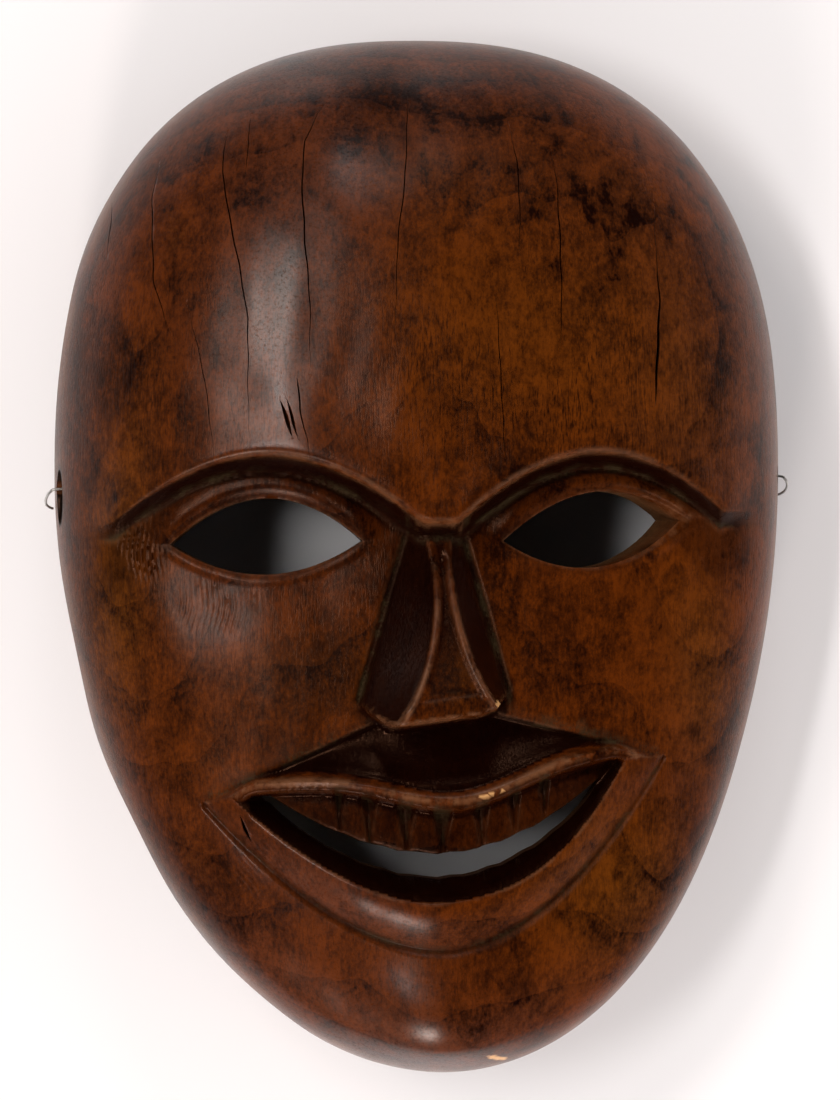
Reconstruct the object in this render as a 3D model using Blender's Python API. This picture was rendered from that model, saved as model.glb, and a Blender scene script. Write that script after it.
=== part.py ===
"""Carved wood mask, hollow behind, lying face up on its back rim, with its hanging wire.

Units are metres. +Z points out of the face, +Y towards the forehead and +X to the
viewer's right. The rim's flat underside is the plane z = 0, and the origin is in
the middle of the outline on that plane. The carving is kept as shares of the
mask's own half width and half height, and its walls, rim, holes and wire have
sizes of their own.
"""

import math
from collections import namedtuple

import bmesh
import bpy
import numpy as np
from mathutils import Vector

# Overall form
MASK_HEIGHT = 0.2700
MASK_WIDTH = 0.1906
SIDE_HEIGHT = 0.0290
FOREHEAD_RISE = 0.0620
CHEEK_RISE = 0.0500
CHIN_LEAN = 0.0060
CHIN_BOSS = 0.0060
SIDE_TAPER = 0.0050

# Thickness of the wood
RIM_THICKNESS = 0.0095
WALL_THICKNESS = 0.0110

# Depths of the carving
BROW_UNDERSIDE = 0.0044
BROW_ROUNDING = 0.0012
BROW_SWELL = 0.0010
SOCKET_DEPTH = 0.0030
LID_SWELL = 0.0016
NOSE_ROOT_HEIGHT = 0.0815
NOSE_TIP_HEIGHT = 0.0990
NOSE_BASE_SLOPE = 0.0020
NOSE_BLEND = 0.0004
CREASE_DEPTH = 0.0008
CREASE_WIDTH = 0.0025
ARRIS_WEAR = 0.0006
LIP_STEP = 0.0016
LIP_RISE = 0.0070
LIP_RIM = 0.0024
LIP_UNDERCUT = 0.0020
TEETH_RECESS = 0.0055
TOOTH_NOTCH_DEPTH = 0.0020
TOOTH_NOTCH_WIDTH = 0.0042
MOUTH_POCKET_DEPTH = 0.0070
LOWER_LIP_RISE = 0.0050
MOUTH_TURN = math.radians(5.7)

# Hanging wire and its holes
WIRE_DIAMETER = 0.0007
WIRE_HOLE_DIAMETER = 0.0056
WIRE_SAG = 0.0060
LEFT_HOLE_Y = 0.0169
LEFT_HOLE_Z = 0.0450
RIGHT_HOLE_Y = 0.0205
RIGHT_HOLE_Z = 0.0420
CLEARANCE = 0.0003
WIRE_REST = (WIRE_HOLE_DIAMETER - WIRE_DIAMETER) / 2 - CLEARANCE

# Bends of the wire's hook: slide down the face, drop towards the rim, stand-off from the side
HOOK_BENDS = (
    (0.0008, 0.0006, 0.0012),
    (0.0024, 0.0032, 0.0019),
    (0.0038, 0.0075, 0.0017),
    (0.0046, 0.0120, 0.0009),
    (0.0049, 0.0165, 0.0001),
)

# Mesh fineness
CARVED_COLUMNS = 280
CARVED_ROWS = 400
CARVED_SHARE_KEPT = 0.0225
SIDE_RINGS = 4
HOLLOW_COLUMNS = 18
HOLLOW_ROWS = 26
OUTLINE_STEPS = 20
WIRE_HOLE_SIDES = 16
WIRE_SPAN_STEPS = 8
WIRE_STEPS = 3

# Colours, as linear values
WOOD_COLOUR = (0.135, 0.048, 0.017, 1.0)
STEEL_COLOUR = (0.55, 0.54, 0.52, 1.0)

HALF_WIDTH = MASK_WIDTH / 2
HALF_HEIGHT = MASK_HEIGHT / 2
WIDEST_Y = 0.184 * HALF_HEIGHT
SAW_ALLOWANCE = 0.003
SAW_SLAB = 0.020
CUT_BOTTOM = SIDE_HEIGHT
CUT_BACK = SIDE_HEIGHT + 0.66 * CHEEK_RISE
CUT_FRONT = SIDE_HEIGHT + 0.94 * CHEEK_RISE
CUT_TOP = SIDE_HEIGHT + 1.5 * FOREHEAD_RISE
CROWN_SQUARENESS = 2.4
JAW_SQUARENESS = 2.0

# How full the domes are, from 2 for an even round to more for a flatter top
FOREHEAD_FULLNESS = 2.4
CHEEK_FULLNESS = 3.2
CHIN_FULLNESS = 5.2

# Shares of the way out to the outline between which the brow's step fades into the temple
TEMPLE_START = 0.82
TEMPLE_END = 0.95
CHIN_BOSS_REACH = 0.135 * HALF_HEIGHT
CHIN_BOSS_Y = -0.92 * HALF_HEIGHT

Arch = namedtuple("Arch", "middle crown half_span drop")
Almond = namedtuple("Almond", "x y half_length rise drop tilt")

# Brow arches and eyes, left then right as the viewer sees them
BROWS = (
    Arch(-0.430 * HALF_WIDTH, 0.188 * HALF_HEIGHT, 0.430 * HALF_WIDTH, 0.136 * HALF_HEIGHT),
    Arch(0.460 * HALF_WIDTH, 0.195 * HALF_HEIGHT, 0.400 * HALF_WIDTH, 0.144 * HALF_HEIGHT),
)
BROW_CURVE = 1.9
BROW_BLEND = 0.010 * HALF_HEIGHT
BROW_SWELL_REACH = 0.060 * HALF_HEIGHT
WIDE_STEP_REACH = 0.22 * HALF_HEIGHT
EYE_LENGTH_BEHIND = (0.97, 0.82)
BRIDGE_Y = 0.060 * HALF_HEIGHT
RIGHT_TAIL_Y = 0.086 * HALF_HEIGHT
RIGHT_TAIL_START = 0.70 * HALF_WIDTH
RIGHT_TAIL_END = 0.84 * HALF_WIDTH
EYES = (
    Almond(-0.430 * HALF_WIDTH, 0.021 * HALF_HEIGHT, 0.259 * HALF_WIDTH,
           0.084 * HALF_HEIGHT, 0.060 * HALF_HEIGHT, 0.020),
    Almond(0.459 * HALF_WIDTH, 0.044 * HALF_HEIGHT, 0.254 * HALF_WIDTH,
           0.074 * HALF_HEIGHT, 0.069 * HALF_HEIGHT, 0.110),
)

# Sockets, lids and the narrow rim under each eye
SOCKET_Y = 0.03 * HALF_HEIGHT
SOCKET_HALF_HEIGHT = 0.13 * HALF_HEIGHT
SOCKET_LENGTHS = 1.25
LOWER_LID_Y = 0.0015
LOWER_LID_WIDTH = 0.0014
LOWER_LID_SHARE = 0.3

# Nose: a front strip that flares to the tip, on a wider wedge
NOSE_TOP_Y = 0.040 * HALF_HEIGHT
NOSE_WAIST_Y = -0.022 * HALF_HEIGHT
NOSE_BASE_Y = -0.305 * HALF_HEIGHT
NOSE_BASE_TILT = 0.14
NOSE_LEFT_WING_X = -0.063 * HALF_WIDTH
NOSE_RIGHT_WING_X = 0.126 * HALF_WIDTH
NOSE_WING_CURVE = 4.8 / HALF_WIDTH
NOSE_FRONT_TOP_X = 0.024 * HALF_WIDTH
NOSE_FRONT_TIP_X = 0.060 * HALF_WIDTH
NOSE_FRONT_WAIST = 0.022 * HALF_WIDTH
NOSE_FRONT_FLARE = 0.108 * HALF_WIDTH
NOSE_FOOT_X = 0.021 * HALF_WIDTH
NOSE_FOOT_TOP = 0.077 * HALF_WIDTH
NOSE_FOOT_FLARE = 0.140 * HALF_WIDTH
NOSE_STRIP_FLARE = 2.3
NOSE_LIMIT_START = 0.30 * HALF_HEIGHT
NOSE_LIMIT_END = 0.15 * HALF_HEIGHT
NOSE_CREASE_WIDTH = 0.0012
NOSE_EDGE_ROUNDING = 0.10

# Mouth, in a frame of its own turned by MOUTH_TURN about its middle
MOUTH_X = 0.025 * HALF_WIDTH
MOUTH_Y = -0.424 * HALF_HEIGHT
MOUTH_HALF_LENGTH = 0.625 * HALF_WIDTH
LEAF_SLOPE = 0.36
LIP_PEAK = 0.028 * HALF_HEIGHT
LIP_DIP = 0.067 * HALF_HEIGHT
LIP_DIP_X = 0.050 * HALF_WIDTH
LIP_DIP_REACH = 0.240 * HALF_WIDTH
LIP_HALF_LENGTH = 0.590 * HALF_WIDTH
GRIN_DEPTH = 0.233 * HALF_HEIGHT
GRIN_HALF_LENGTH = 0.530 * HALF_WIDTH
GRIN_X = -0.016 * HALF_WIDTH
LOWER_LIP_DEPTH = 0.326 * HALF_HEIGHT
TEETH_DEPTH = 0.141 * HALF_HEIGHT
TEETH_HALF_LENGTH = 0.470 * HALF_WIDTH
TEETH_SLANT = 0.0020
TEETH_SLANT_RUN = 0.10 * HALF_HEIGHT
LOWER_WALL_RUN = 0.055 * HALF_HEIGHT
UPPER_LIP_CURVE = 1.8
LOWER_LIP_CURVE = 1.85
GRIN_LEFT_CURVE = 1.75
GRIN_RIGHT_CURVE = 2.4
TEETH_CURVE = 1.9
SLOT_HEIGHT = 0.050 * HALF_HEIGHT
SLOT_HALF_LENGTH = 0.450 * HALF_WIDTH
TEETH_X = 0.026 * HALF_WIDTH
TOOTH_NOTCHES = tuple(
    share * HALF_WIDTH for share in (-0.262, -0.186, -0.090, 0.006, 0.112, 0.204, 0.289)
)


def smooth_step(start, end, value):
    """0 up to the start and 1 past the end, with an eased run between."""
    share = np.clip((value - start) / (end - start), 0.0, 1.0)
    return share * share * (3.0 - 2.0 * share)


def soft_max(first, second, blend):
    """The higher of two surfaces, rounded where they meet."""
    share = np.clip(0.5 + 0.5 * (first - second) / blend, 0.0, 1.0)
    return second + (first - second) * share + blend * share * (1.0 - share)


def lean(y):
    """Sideways lean of the jaw towards the chin."""
    return CHIN_LEAN * np.clip(-y / HALF_HEIGHT, 0.0, 1.0) ** 2


def outline_point(angle):
    """Point of the sawn outline at an angle about its widest line."""
    above = np.sin(angle) > 0.0
    squareness = np.where(above, CROWN_SQUARENESS, JAW_SQUARENESS)
    reach = np.where(above, HALF_HEIGHT - WIDEST_Y, HALF_HEIGHT + WIDEST_Y)
    power = 2.0 / squareness
    x = HALF_WIDTH * np.sign(np.cos(angle)) * np.abs(np.cos(angle)) ** power
    y = WIDEST_Y + reach * np.sign(np.sin(angle)) * np.abs(np.sin(angle)) ** power
    return x, y


def outline_share(x, y):
    """How far a point lies out towards the outline, from 0 in the middle to 1 on it."""
    above = y > WIDEST_Y
    squareness = np.where(above, CROWN_SQUARENESS, JAW_SQUARENESS)
    reach = np.where(above, HALF_HEIGHT - WIDEST_Y, HALF_HEIGHT + WIDEST_Y)
    across = np.abs(x - lean(y)) / HALF_WIDTH
    along = np.abs(y - WIDEST_Y) / reach
    return (across ** squareness + along ** squareness) ** (1.0 / squareness)


def dome(share, fullness):
    """Rise of a dome as a share of its full height: 1 in the middle, 0 on the outline."""
    return (1.0 - np.clip(share, 0.0, 1.0) ** fullness) ** (1.0 / fullness)


def brow_line(x):
    """Height of the brow's edge up the face: two arches that meet in the bridge."""
    tail = smooth_step(RIGHT_TAIL_START, RIGHT_TAIL_END, x)
    line = BRIDGE_Y + (RIGHT_TAIL_Y - BRIDGE_Y) * tail
    for arch in BROWS:
        run = np.abs((x - arch.middle) / arch.half_span)
        line = soft_max(line, arch.crown - arch.drop * run ** BROW_CURVE, BROW_BLEND)
    return line


def below_brow(x, y):
    """Distance below the brow's edge, square to it."""
    step = 0.0005
    slope = (brow_line(x + step) - brow_line(x - step)) / (2 * step)
    return (brow_line(x) - y) / np.sqrt(1.0 + slope ** 2)


def almond_sides(eye, x):
    """Upper and lower edge of an eye opening at x."""
    run = np.clip(np.abs(x - eye.x) / eye.half_length, 0.0, 1.0)
    middle = eye.y + eye.tilt * (x - eye.x)
    return middle + eye.rise * (1.0 - run ** 2), middle - eye.drop * (1.0 - run ** 2)


def mouth_frame(x, y):
    """Place in the mouth's own turned frame: along the lips and up from the corners."""
    cos, sin = math.cos(MOUTH_TURN), math.sin(MOUTH_TURN)
    return ((x - MOUTH_X) * cos + (y - MOUTH_Y) * sin,
            -(x - MOUTH_X) * sin + (y - MOUTH_Y) * cos)


def arc(depth, half_length, power, along):
    """A hanging arc: -depth in the middle, 0 at its two ends."""
    return -depth * (1.0 - np.clip(np.abs(along) / half_length, 0.0, 1.0) ** power)


def teeth_line(along):
    """The lower ends of the teeth, in the mouth's frame."""
    return arc(TEETH_DEPTH, TEETH_HALF_LENGTH, TEETH_CURVE, along - TEETH_X)


def upper_lip_ridge(along):
    """The rim of the upper lip, a bow with one dip, in the mouth's frame."""
    sag = LIP_DIP * np.exp(-((along - LIP_DIP_X) / LIP_DIP_REACH) ** 2)
    ends = smooth_step(0.80, 1.0, np.abs(along) / LIP_HALF_LENGTH)
    return (LIP_PEAK - sag) * (1.0 - ends)


def lower_lip_edge(along):
    """The lower edge of the grin, fuller on its right, in the mouth's frame."""
    shifted = along - GRIN_X
    power = np.where(shifted < 0.0, GRIN_LEFT_CURVE, GRIN_RIGHT_CURVE)
    return arc(GRIN_DEPTH, GRIN_HALF_LENGTH, power, shifted)


def base_form(x, y):
    """The blocked-out face: a high forehead that steps down to the cheeks at the brow."""
    share = outline_share(x, y)
    forehead = FOREHEAD_RISE * dome(share, FOREHEAD_FULLNESS)
    to_chin = smooth_step(-0.30 * HALF_HEIGHT, -0.90 * HALF_HEIGHT, y)
    fullness = CHEEK_FULLNESS + (CHIN_FULLNESS - CHEEK_FULLNESS) * to_chin
    cheeks = CHEEK_RISE * dome(share, fullness)
    below = below_brow(x, y)
    ramp = 0.5 * (below + np.sqrt(below ** 2 + BROW_ROUNDING ** 2))
    sharp = np.clip(ramp / (BROW_UNDERSIDE * 1.05), 0.0, 1.0)
    wide = smooth_step(-WIDE_STEP_REACH, WIDE_STEP_REACH, below)
    temple = smooth_step(TEMPLE_START, TEMPLE_END, share)
    step = sharp + (wide - sharp) * temple
    swell = BROW_SWELL * np.exp(-((brow_line(x) - y) / BROW_SWELL_REACH) ** 2)
    swell = swell * (1.0 - step) * (1.0 - temple)
    from_boss = np.hypot(x - lean(y), y - CHIN_BOSS_Y) / CHIN_BOSS_REACH
    boss = CHIN_BOSS * np.exp(-from_boss ** 2) * smooth_step(1.0, 0.95, share)
    return SIDE_HEIGHT + forehead + (cheeks - forehead) * step + swell + boss


def socket_carving(x, y):
    """Hollows about the eyes, with a swelling lid between the brow's crease and the eye."""
    depth = np.zeros_like(x)
    below = below_brow(x, y)
    for eye in EYES:
        upper, lower = almond_sides(eye, x)
        run = np.abs(x - eye.x) / eye.half_length
        inside = smooth_step(SOCKET_LENGTHS, 0.85, run)
        up = (y - eye.y - SOCKET_Y) / SOCKET_HALF_HEIGHT
        hollow = np.exp(-(run / SOCKET_LENGTHS) ** 2 - up ** 2)
        depth = depth - SOCKET_DEPTH * hollow * smooth_step(0.0, BROW_UNDERSIDE, below)
        above_eye = np.clip(y - upper, 0.0, None)
        past_crease = np.clip(below - BROW_UNDERSIDE, 0.0, None)
        width = above_eye + past_crease + 1e-6
        lid = 4.0 * above_eye * past_crease / width ** 2
        depth = depth + LID_SWELL * lid * inside
        under_eye = np.clip(lower - y, 0.0, None)
        rim = np.exp(-((under_eye - LOWER_LID_Y) / LOWER_LID_WIDTH) ** 2) * (y < lower)
        depth = depth + LOWER_LID_SHARE * LID_SWELL * rim * inside
    return depth


def nose_form(x, y, ground, cheeks):
    """Wedge nose: its flat front strip rises to the tip and its sides slope to the cheeks."""
    run = np.clip((NOSE_TOP_Y - y) / (NOSE_TOP_Y - NOSE_BASE_Y), 0.0, 1.15)
    past_waist = np.clip((NOSE_WAIST_Y - y) / (NOSE_WAIST_Y - NOSE_BASE_Y), 0.0, 1.15)
    front_x = NOSE_FRONT_TOP_X + (NOSE_FRONT_TIP_X - NOSE_FRONT_TOP_X) * run ** 0.6
    root = np.clip((y - NOSE_WAIST_Y) / (NOSE_TOP_Y - NOSE_WAIST_Y), 0.0, 1.0)
    front_half = NOSE_FRONT_WAIST * (1.0 + 0.5 * root)
    front_half = front_half + NOSE_FRONT_FLARE * past_waist ** NOSE_STRIP_FLARE
    foot_half = NOSE_FOOT_TOP + NOSE_FOOT_FLARE * run
    front = NOSE_ROOT_HEIGHT + (NOSE_TIP_HEIGHT - NOSE_ROOT_HEIGHT) * run
    rise = np.maximum(front - cheeks, 0.0) * smooth_step(NOSE_LIMIT_START, NOSE_LIMIT_END, y)
    side = np.sign(x - front_x)
    beyond = np.abs(x - front_x) - front_half
    slope_run = foot_half - front_half + side * (NOSE_FOOT_X - front_x)
    slope = np.clip(beyond / np.maximum(slope_run, 0.001), -1.0, 1.3)
    flank = rise * (1.0 - soft_max(slope, np.zeros_like(slope), NOSE_EDGE_ROUNDING))
    base_y = NOSE_BASE_Y + NOSE_BASE_TILT * (x - NOSE_FRONT_TIP_X)
    wings = np.clip(NOSE_LEFT_WING_X - x, 0.0, None) ** 2
    wings = wings + np.clip(x - NOSE_RIGHT_WING_X, 0.0, None) ** 2
    base_y = base_y + NOSE_WING_CURVE * wings
    past_base = (base_y - y) / NOSE_BASE_SLOPE
    flank = flank - (NOSE_TIP_HEIGHT - NOSE_ROOT_HEIGHT) * np.clip(past_base, 0.0, 3.0)
    nose = cheeks + flank - 2 * NOSE_BLEND
    crease = np.exp(-(flank / NOSE_CREASE_WIDTH) ** 2) * smooth_step(0.0, 0.003, rise)
    crease = crease * (np.abs(slope) < 1.2) * (past_base < 1.0)
    return soft_max(nose, ground, NOSE_BLEND) - CREASE_DEPTH * crease


def lip_carving(x, y, ground):
    """The lips, the row of teeth and the mouth's pocket, cut about the grin."""
    along, up = mouth_frame(x, y)
    tip = np.abs(along) / MOUTH_HALF_LENGTH
    leaf_top = LEAF_SLOPE * (MOUTH_HALF_LENGTH - np.abs(along))
    ridge = upper_lip_ridge(along)
    rim_foot = ridge - LIP_RIM
    grin = lower_lip_edge(along)
    lip_foot = arc(LOWER_LIP_DEPTH, MOUTH_HALF_LENGTH, LOWER_LIP_CURVE, along)
    swell = np.clip(1.0 - tip ** 2, 0.0, 1.0)

    upper_run = np.clip((leaf_top - up) / np.maximum(leaf_top - ridge, 0.001), 0.0, 1.0)
    upper = -LIP_STEP * smooth_step(0.0, LIP_UNDERCUT, leaf_top - up) * np.minimum(1.0, swell * 3.0)
    upper = upper + (LIP_RISE + LIP_STEP) * swell * upper_run ** UPPER_LIP_CURVE

    lower_run = np.clip((up - lip_foot) / np.maximum(grin - lip_foot, 0.001), 0.0, 1.0)
    lower = (LOWER_LIP_RISE * swell + CREASE_DEPTH) * np.sin(0.5 * math.pi * lower_run) - CREASE_DEPTH

    teeth_top = LIP_RISE * swell - TEETH_RECESS
    teeth_run = np.clip((rim_foot - up) / TEETH_SLANT_RUN, 0.0, 1.0)
    teeth = teeth_top - TEETH_SLANT * teeth_run ** 2
    teeth_edge = teeth_line(along)
    bite = np.clip((up - teeth_edge) / np.maximum(rim_foot - teeth_edge, 0.001), 0.0, 1.0)
    for notch in TOOTH_NOTCHES:
        half = 0.5 * TOOTH_NOTCH_WIDTH * (0.25 + 0.75 * bite) + 1e-6
        groove = np.clip(1.0 - np.abs(along - notch) / half, 0.0, 1.0)
        teeth = teeth - TOOTH_NOTCH_DEPTH * groove * (0.3 + 0.7 * bite)
    wall_run = np.clip((up - grin) / LOWER_WALL_RUN, 0.0, 1.0)
    wall = LOWER_LIP_RISE * swell - (LOWER_LIP_RISE * swell + MOUTH_POCKET_DEPTH) * wall_run
    below_teeth = smooth_step(0.0, LIP_UNDERCUT, teeth_edge - up)
    pocket = teeth + (wall - teeth) * below_teeth
    ends = smooth_step(1.0, 0.80, np.abs(along) / GRIN_HALF_LENGTH)
    lip_height = LIP_RISE * swell
    cliff = smooth_step(0.0, LIP_UNDERCUT, rim_foot - up)
    mouth = lip_height + (pocket - lip_height) * cliff * np.clip(ends * 4.0, 0.0, 1.0)

    in_upper = (up <= leaf_top) & (up >= ridge)
    in_mouth = (up < ridge) & (up > grin)
    in_lower = (up <= grin) & (up >= lip_foot)
    change = -CREASE_DEPTH * smooth_step(CREASE_WIDTH, 0.0, lip_foot - up) * (up < lip_foot)
    change = np.where(in_upper, upper, change)
    change = np.where(in_mouth, mouth, change)
    change = np.where(in_lower, lower, change)
    return ground + np.where(tip < 1.0, change, 0.0)


def sharp_face(x, y):
    """Height of the carved front above the rim plane, with its arrises still sharp."""
    cheeks = base_form(x, y) + socket_carving(x, y)
    return nose_form(x, y, lip_carving(x, y, cheeks), cheeks)


def carved_face(x, y):
    """Height of the carved front, its arrises eased by wear."""
    centre = sharp_face(x, y)
    around = sum(sharp_face(x + ARRIS_WEAR * across, y + ARRIS_WEAR * along)
                 for across, along in ((1, 0), (-1, 0), (0, 1), (0, -1)))
    worn = smooth_step(0.98, 0.94, outline_share(x, y))
    return centre + (around - 4.0 * centre) / 5.0 * worn


def hollow_form(x, y, share):
    """Height of the smooth hollow behind the face."""
    forehead = (FOREHEAD_RISE - WALL_THICKNESS) * dome(share, FOREHEAD_FULLNESS)
    cheeks = (CHEEK_RISE - WALL_THICKNESS) * dome(share, CHEEK_FULLNESS)
    blend = smooth_step(0.60 * HALF_HEIGHT, 0.12 * HALF_HEIGHT, y)
    return SIDE_HEIGHT + forehead + (cheeks - forehead) * blend


def disc_from_grid(u, v):
    """Spread a square grid over a disc, denser towards its edge."""
    disc_u = u * np.sqrt(1.0 - 0.5 * v ** 2)
    disc_v = v * np.sqrt(1.0 - 0.5 * u ** 2)
    radius = np.hypot(disc_u, disc_v)
    angle = np.arctan2(disc_v, disc_u)
    share = 0.4 * radius + 0.6 * np.sin(0.5 * math.pi * np.clip(radius, 0.0, 1.0))
    return share, angle


def finished_mesh(name, shaper):
    """Turn a shape's faces outwards and keep it as a mesh."""
    bmesh.ops.recalc_face_normals(shaper, faces=shaper.faces)
    mesh = bpy.data.meshes.new(name)
    shaper.to_mesh(mesh)
    shaper.free()
    return mesh


def side_inset(z):
    """How far the side has drawn in at a height, from nothing at its top to its full taper."""
    return SIDE_TAPER * np.clip(1.0 - z / SIDE_HEIGHT, 0.0, 1.0) ** 2


def domed_block(name, columns, rows, inset, foot, height_of):
    """A closed block: a grid spread over the outline and lifted, on sides down to its foot."""
    shaper = bmesh.new()
    bmesh.ops.create_grid(shaper, x_segments=columns, y_segments=rows, size=1.0)
    ring_of = [0] * len(shaper.verts)
    for ring in range(SIDE_RINGS):
        rim = [edge for edge in shaper.edges if edge.is_boundary]
        bmesh.ops.extrude_edge_only(shaper, edges=rim)
        ring_of += [ring + 1] * (len(shaper.verts) - len(ring_of))
    rim = [edge for edge in shaper.edges if edge.is_boundary]
    bmesh.ops.edgeloop_fill(shaper, edges=rim)

    grid = np.array([vert.co[:] for vert in shaper.verts])
    share, angle = disc_from_grid(grid[:, 0], grid[:, 1])
    edge_x, edge_y = outline_point(angle)
    down = np.array(ring_of) / SIDE_RINGS
    side_z = SIDE_HEIGHT + (foot - SIDE_HEIGHT) * down
    inward = inset + side_inset(side_z)
    y = WIDEST_Y + (edge_y - WIDEST_Y) * (1.0 - inward / HALF_HEIGHT) * share
    x = edge_x * (1.0 - inward / HALF_WIDTH) * share + lean(y)
    z = np.where(down > 0.0, side_z, height_of(x, y, share))
    for vert, place in zip(shaper.verts, np.column_stack((x, y, z))):
        vert.co = place
    return finished_mesh(name, shaper)


def lofted_mesh(name, sections):
    """A closed solid lofted through rings of points, with flat ends."""
    shaper = bmesh.new()
    rings = [[shaper.verts.new(point) for point in section] for section in sections]
    for lower, upper in zip(rings, rings[1:]):
        for index in range(len(lower)):
            after = (index + 1) % len(lower)
            shaper.faces.new((lower[index], lower[after], upper[after], upper[index]))
    shaper.faces.new(rings[0])
    shaper.faces.new(rings[-1])
    return finished_mesh(name, shaper)


def almond_outline(eye, length_left):
    """Points round an eye opening, its outer end drawn in to leave a share of its length."""
    steps = np.linspace(-1.0, 1.0, OUTLINE_STEPS + 1)
    x = eye.x + eye.half_length * np.sin(0.5 * math.pi * steps)
    upper, lower = almond_sides(eye, x)
    inner = eye.x - math.copysign(eye.half_length, eye.x)
    drawn = inner + (x - inner) * length_left
    return list(zip(drawn, upper)) + list(zip(drawn, lower))[-2:0:-1]


def slot_outline():
    """Points round the crescent that is cut right through below the teeth."""
    steps = np.linspace(-1.0, 1.0, OUTLINE_STEPS + 1)
    along = GRIN_X + SLOT_HALF_LENGTH * np.sin(0.5 * math.pi * steps)
    upper = teeth_line(along)
    lower = upper - SLOT_HEIGHT * (1.0 - steps ** 2)
    points = list(zip(along, upper)) + list(zip(along, lower))[-2:0:-1]
    cos, sin = math.cos(MOUTH_TURN), math.sin(MOUTH_TURN)
    return [(MOUTH_X + run * cos - up * sin, MOUTH_Y + run * sin + up * cos) for run, up in points]


def through_cut(name, front, back):
    """A cutter through the face, straight in front and behind and drawn in between."""
    heights = ((CUT_BOTTOM, back), (CUT_BACK, back), (CUT_FRONT, front), (CUT_TOP, front))
    return lofted_mesh(name, [[(x, y, height) for x, y in outline] for height, outline in heights])


def side_reach(side, y, z):
    """x of the mask's outer side at a place up the face and above the rim."""
    reach = HALF_HEIGHT - WIDEST_Y if y > WIDEST_Y else HALF_HEIGHT + WIDEST_Y
    power = CROWN_SQUARENESS if y > WIDEST_Y else JAW_SQUARENESS
    half_width = HALF_WIDTH * (1.0 - abs((y - WIDEST_Y) / reach) ** power) ** (1.0 / power)
    leaned = float(lean(y))
    if z <= SIDE_HEIGHT:
        return leaned + side * (half_width - float(side_inset(z)))
    inner, outer = 0.5 * half_width, half_width
    for _ in range(40):
        middle = 0.5 * (inner + outer)
        height = float(base_form(np.array([leaned + side * middle]), np.array([y]))[0])
        if height > z:
            inner = middle
        else:
            outer = middle
    return leaned + side * inner


def smooth_route(points, steps):
    """A smooth curve through points, with so many steps between each two."""
    route = []
    last = len(points) - 1
    for index in range(last):
        before = Vector(points[max(index - 1, 0)])
        start = Vector(points[index])
        end = Vector(points[index + 1])
        after = Vector(points[min(index + 2, last)])
        for step in range(steps):
            t = step / steps
            route.append(0.5 * ((2.0 * start) + (end - before) * t
                                + (2.0 * before - 5.0 * start + 4.0 * end - after) * t ** 2
                                + (3.0 * start - 3.0 * end + after - before) * t ** 3))
    route.append(Vector(points[last]))
    return route


def wire_hook(side, hole_y, hole_z):
    """Points from the hole's mouth out and round to the wire's bent-over tip."""
    rest = WIRE_REST * 0.6
    points = [(side_reach(side, hole_y, hole_z), hole_y, hole_z - rest)]
    for slide, drop, stand_off in HOOK_BENDS:
        y = hole_y - slide
        z = hole_z - rest - drop
        out = WIRE_DIAMETER / 2 + CLEARANCE + stand_off
        points.append((side_reach(side, y, z) + side * out, y, z))
    return points


def wire_route():
    """The wire from its left tip, in through one hole, across the hollow and out again."""
    left = wire_hook(-1, LEFT_HOLE_Y, LEFT_HOLE_Z)
    right = wire_hook(1, RIGHT_HOLE_Y, RIGHT_HOLE_Z)
    start = Vector((left[0][0] + RIM_THICKNESS, LEFT_HOLE_Y, LEFT_HOLE_Z - WIRE_REST))
    end = Vector((right[0][0] - RIM_THICKNESS, RIGHT_HOLE_Y, RIGHT_HOLE_Z - WIRE_REST))
    span = []
    for step in range(WIRE_SPAN_STEPS + 1):
        share = step / WIRE_SPAN_STEPS
        point = start.lerp(end, share)
        point.z -= 4.0 * WIRE_SAG * share * (1.0 - share)
        span.append(point)
    return smooth_route(left[::-1] + span + right, WIRE_STEPS)


def make_material(name, colour, roughness, metallic):
    """A plain material with its preview colour."""
    material = bpy.data.materials.new(name)
    material.use_nodes = True
    shader = material.node_tree.nodes["Principled BSDF"]
    shader.inputs["Base Color"].default_value = colour
    shader.inputs["Roughness"].default_value = roughness
    shader.inputs["Metallic"].default_value = metallic
    material.diffuse_color = colour
    return material


def place(name, data, collection):
    """Put a named object in a collection."""
    thing = bpy.data.objects.new(name, data)
    collection.objects.link(thing)
    return thing


def cut_away(body, cutter):
    """Cut the body with a cutter, which is shown as wire and left out of the model."""
    cutter.hide_render = True
    cutter.display_type = "WIRE"
    cut = body.modifiers.new(cutter.name, "BOOLEAN")
    cut.operation = "DIFFERENCE"
    cut.solver = "EXACT"
    cut.object = cutter


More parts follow.
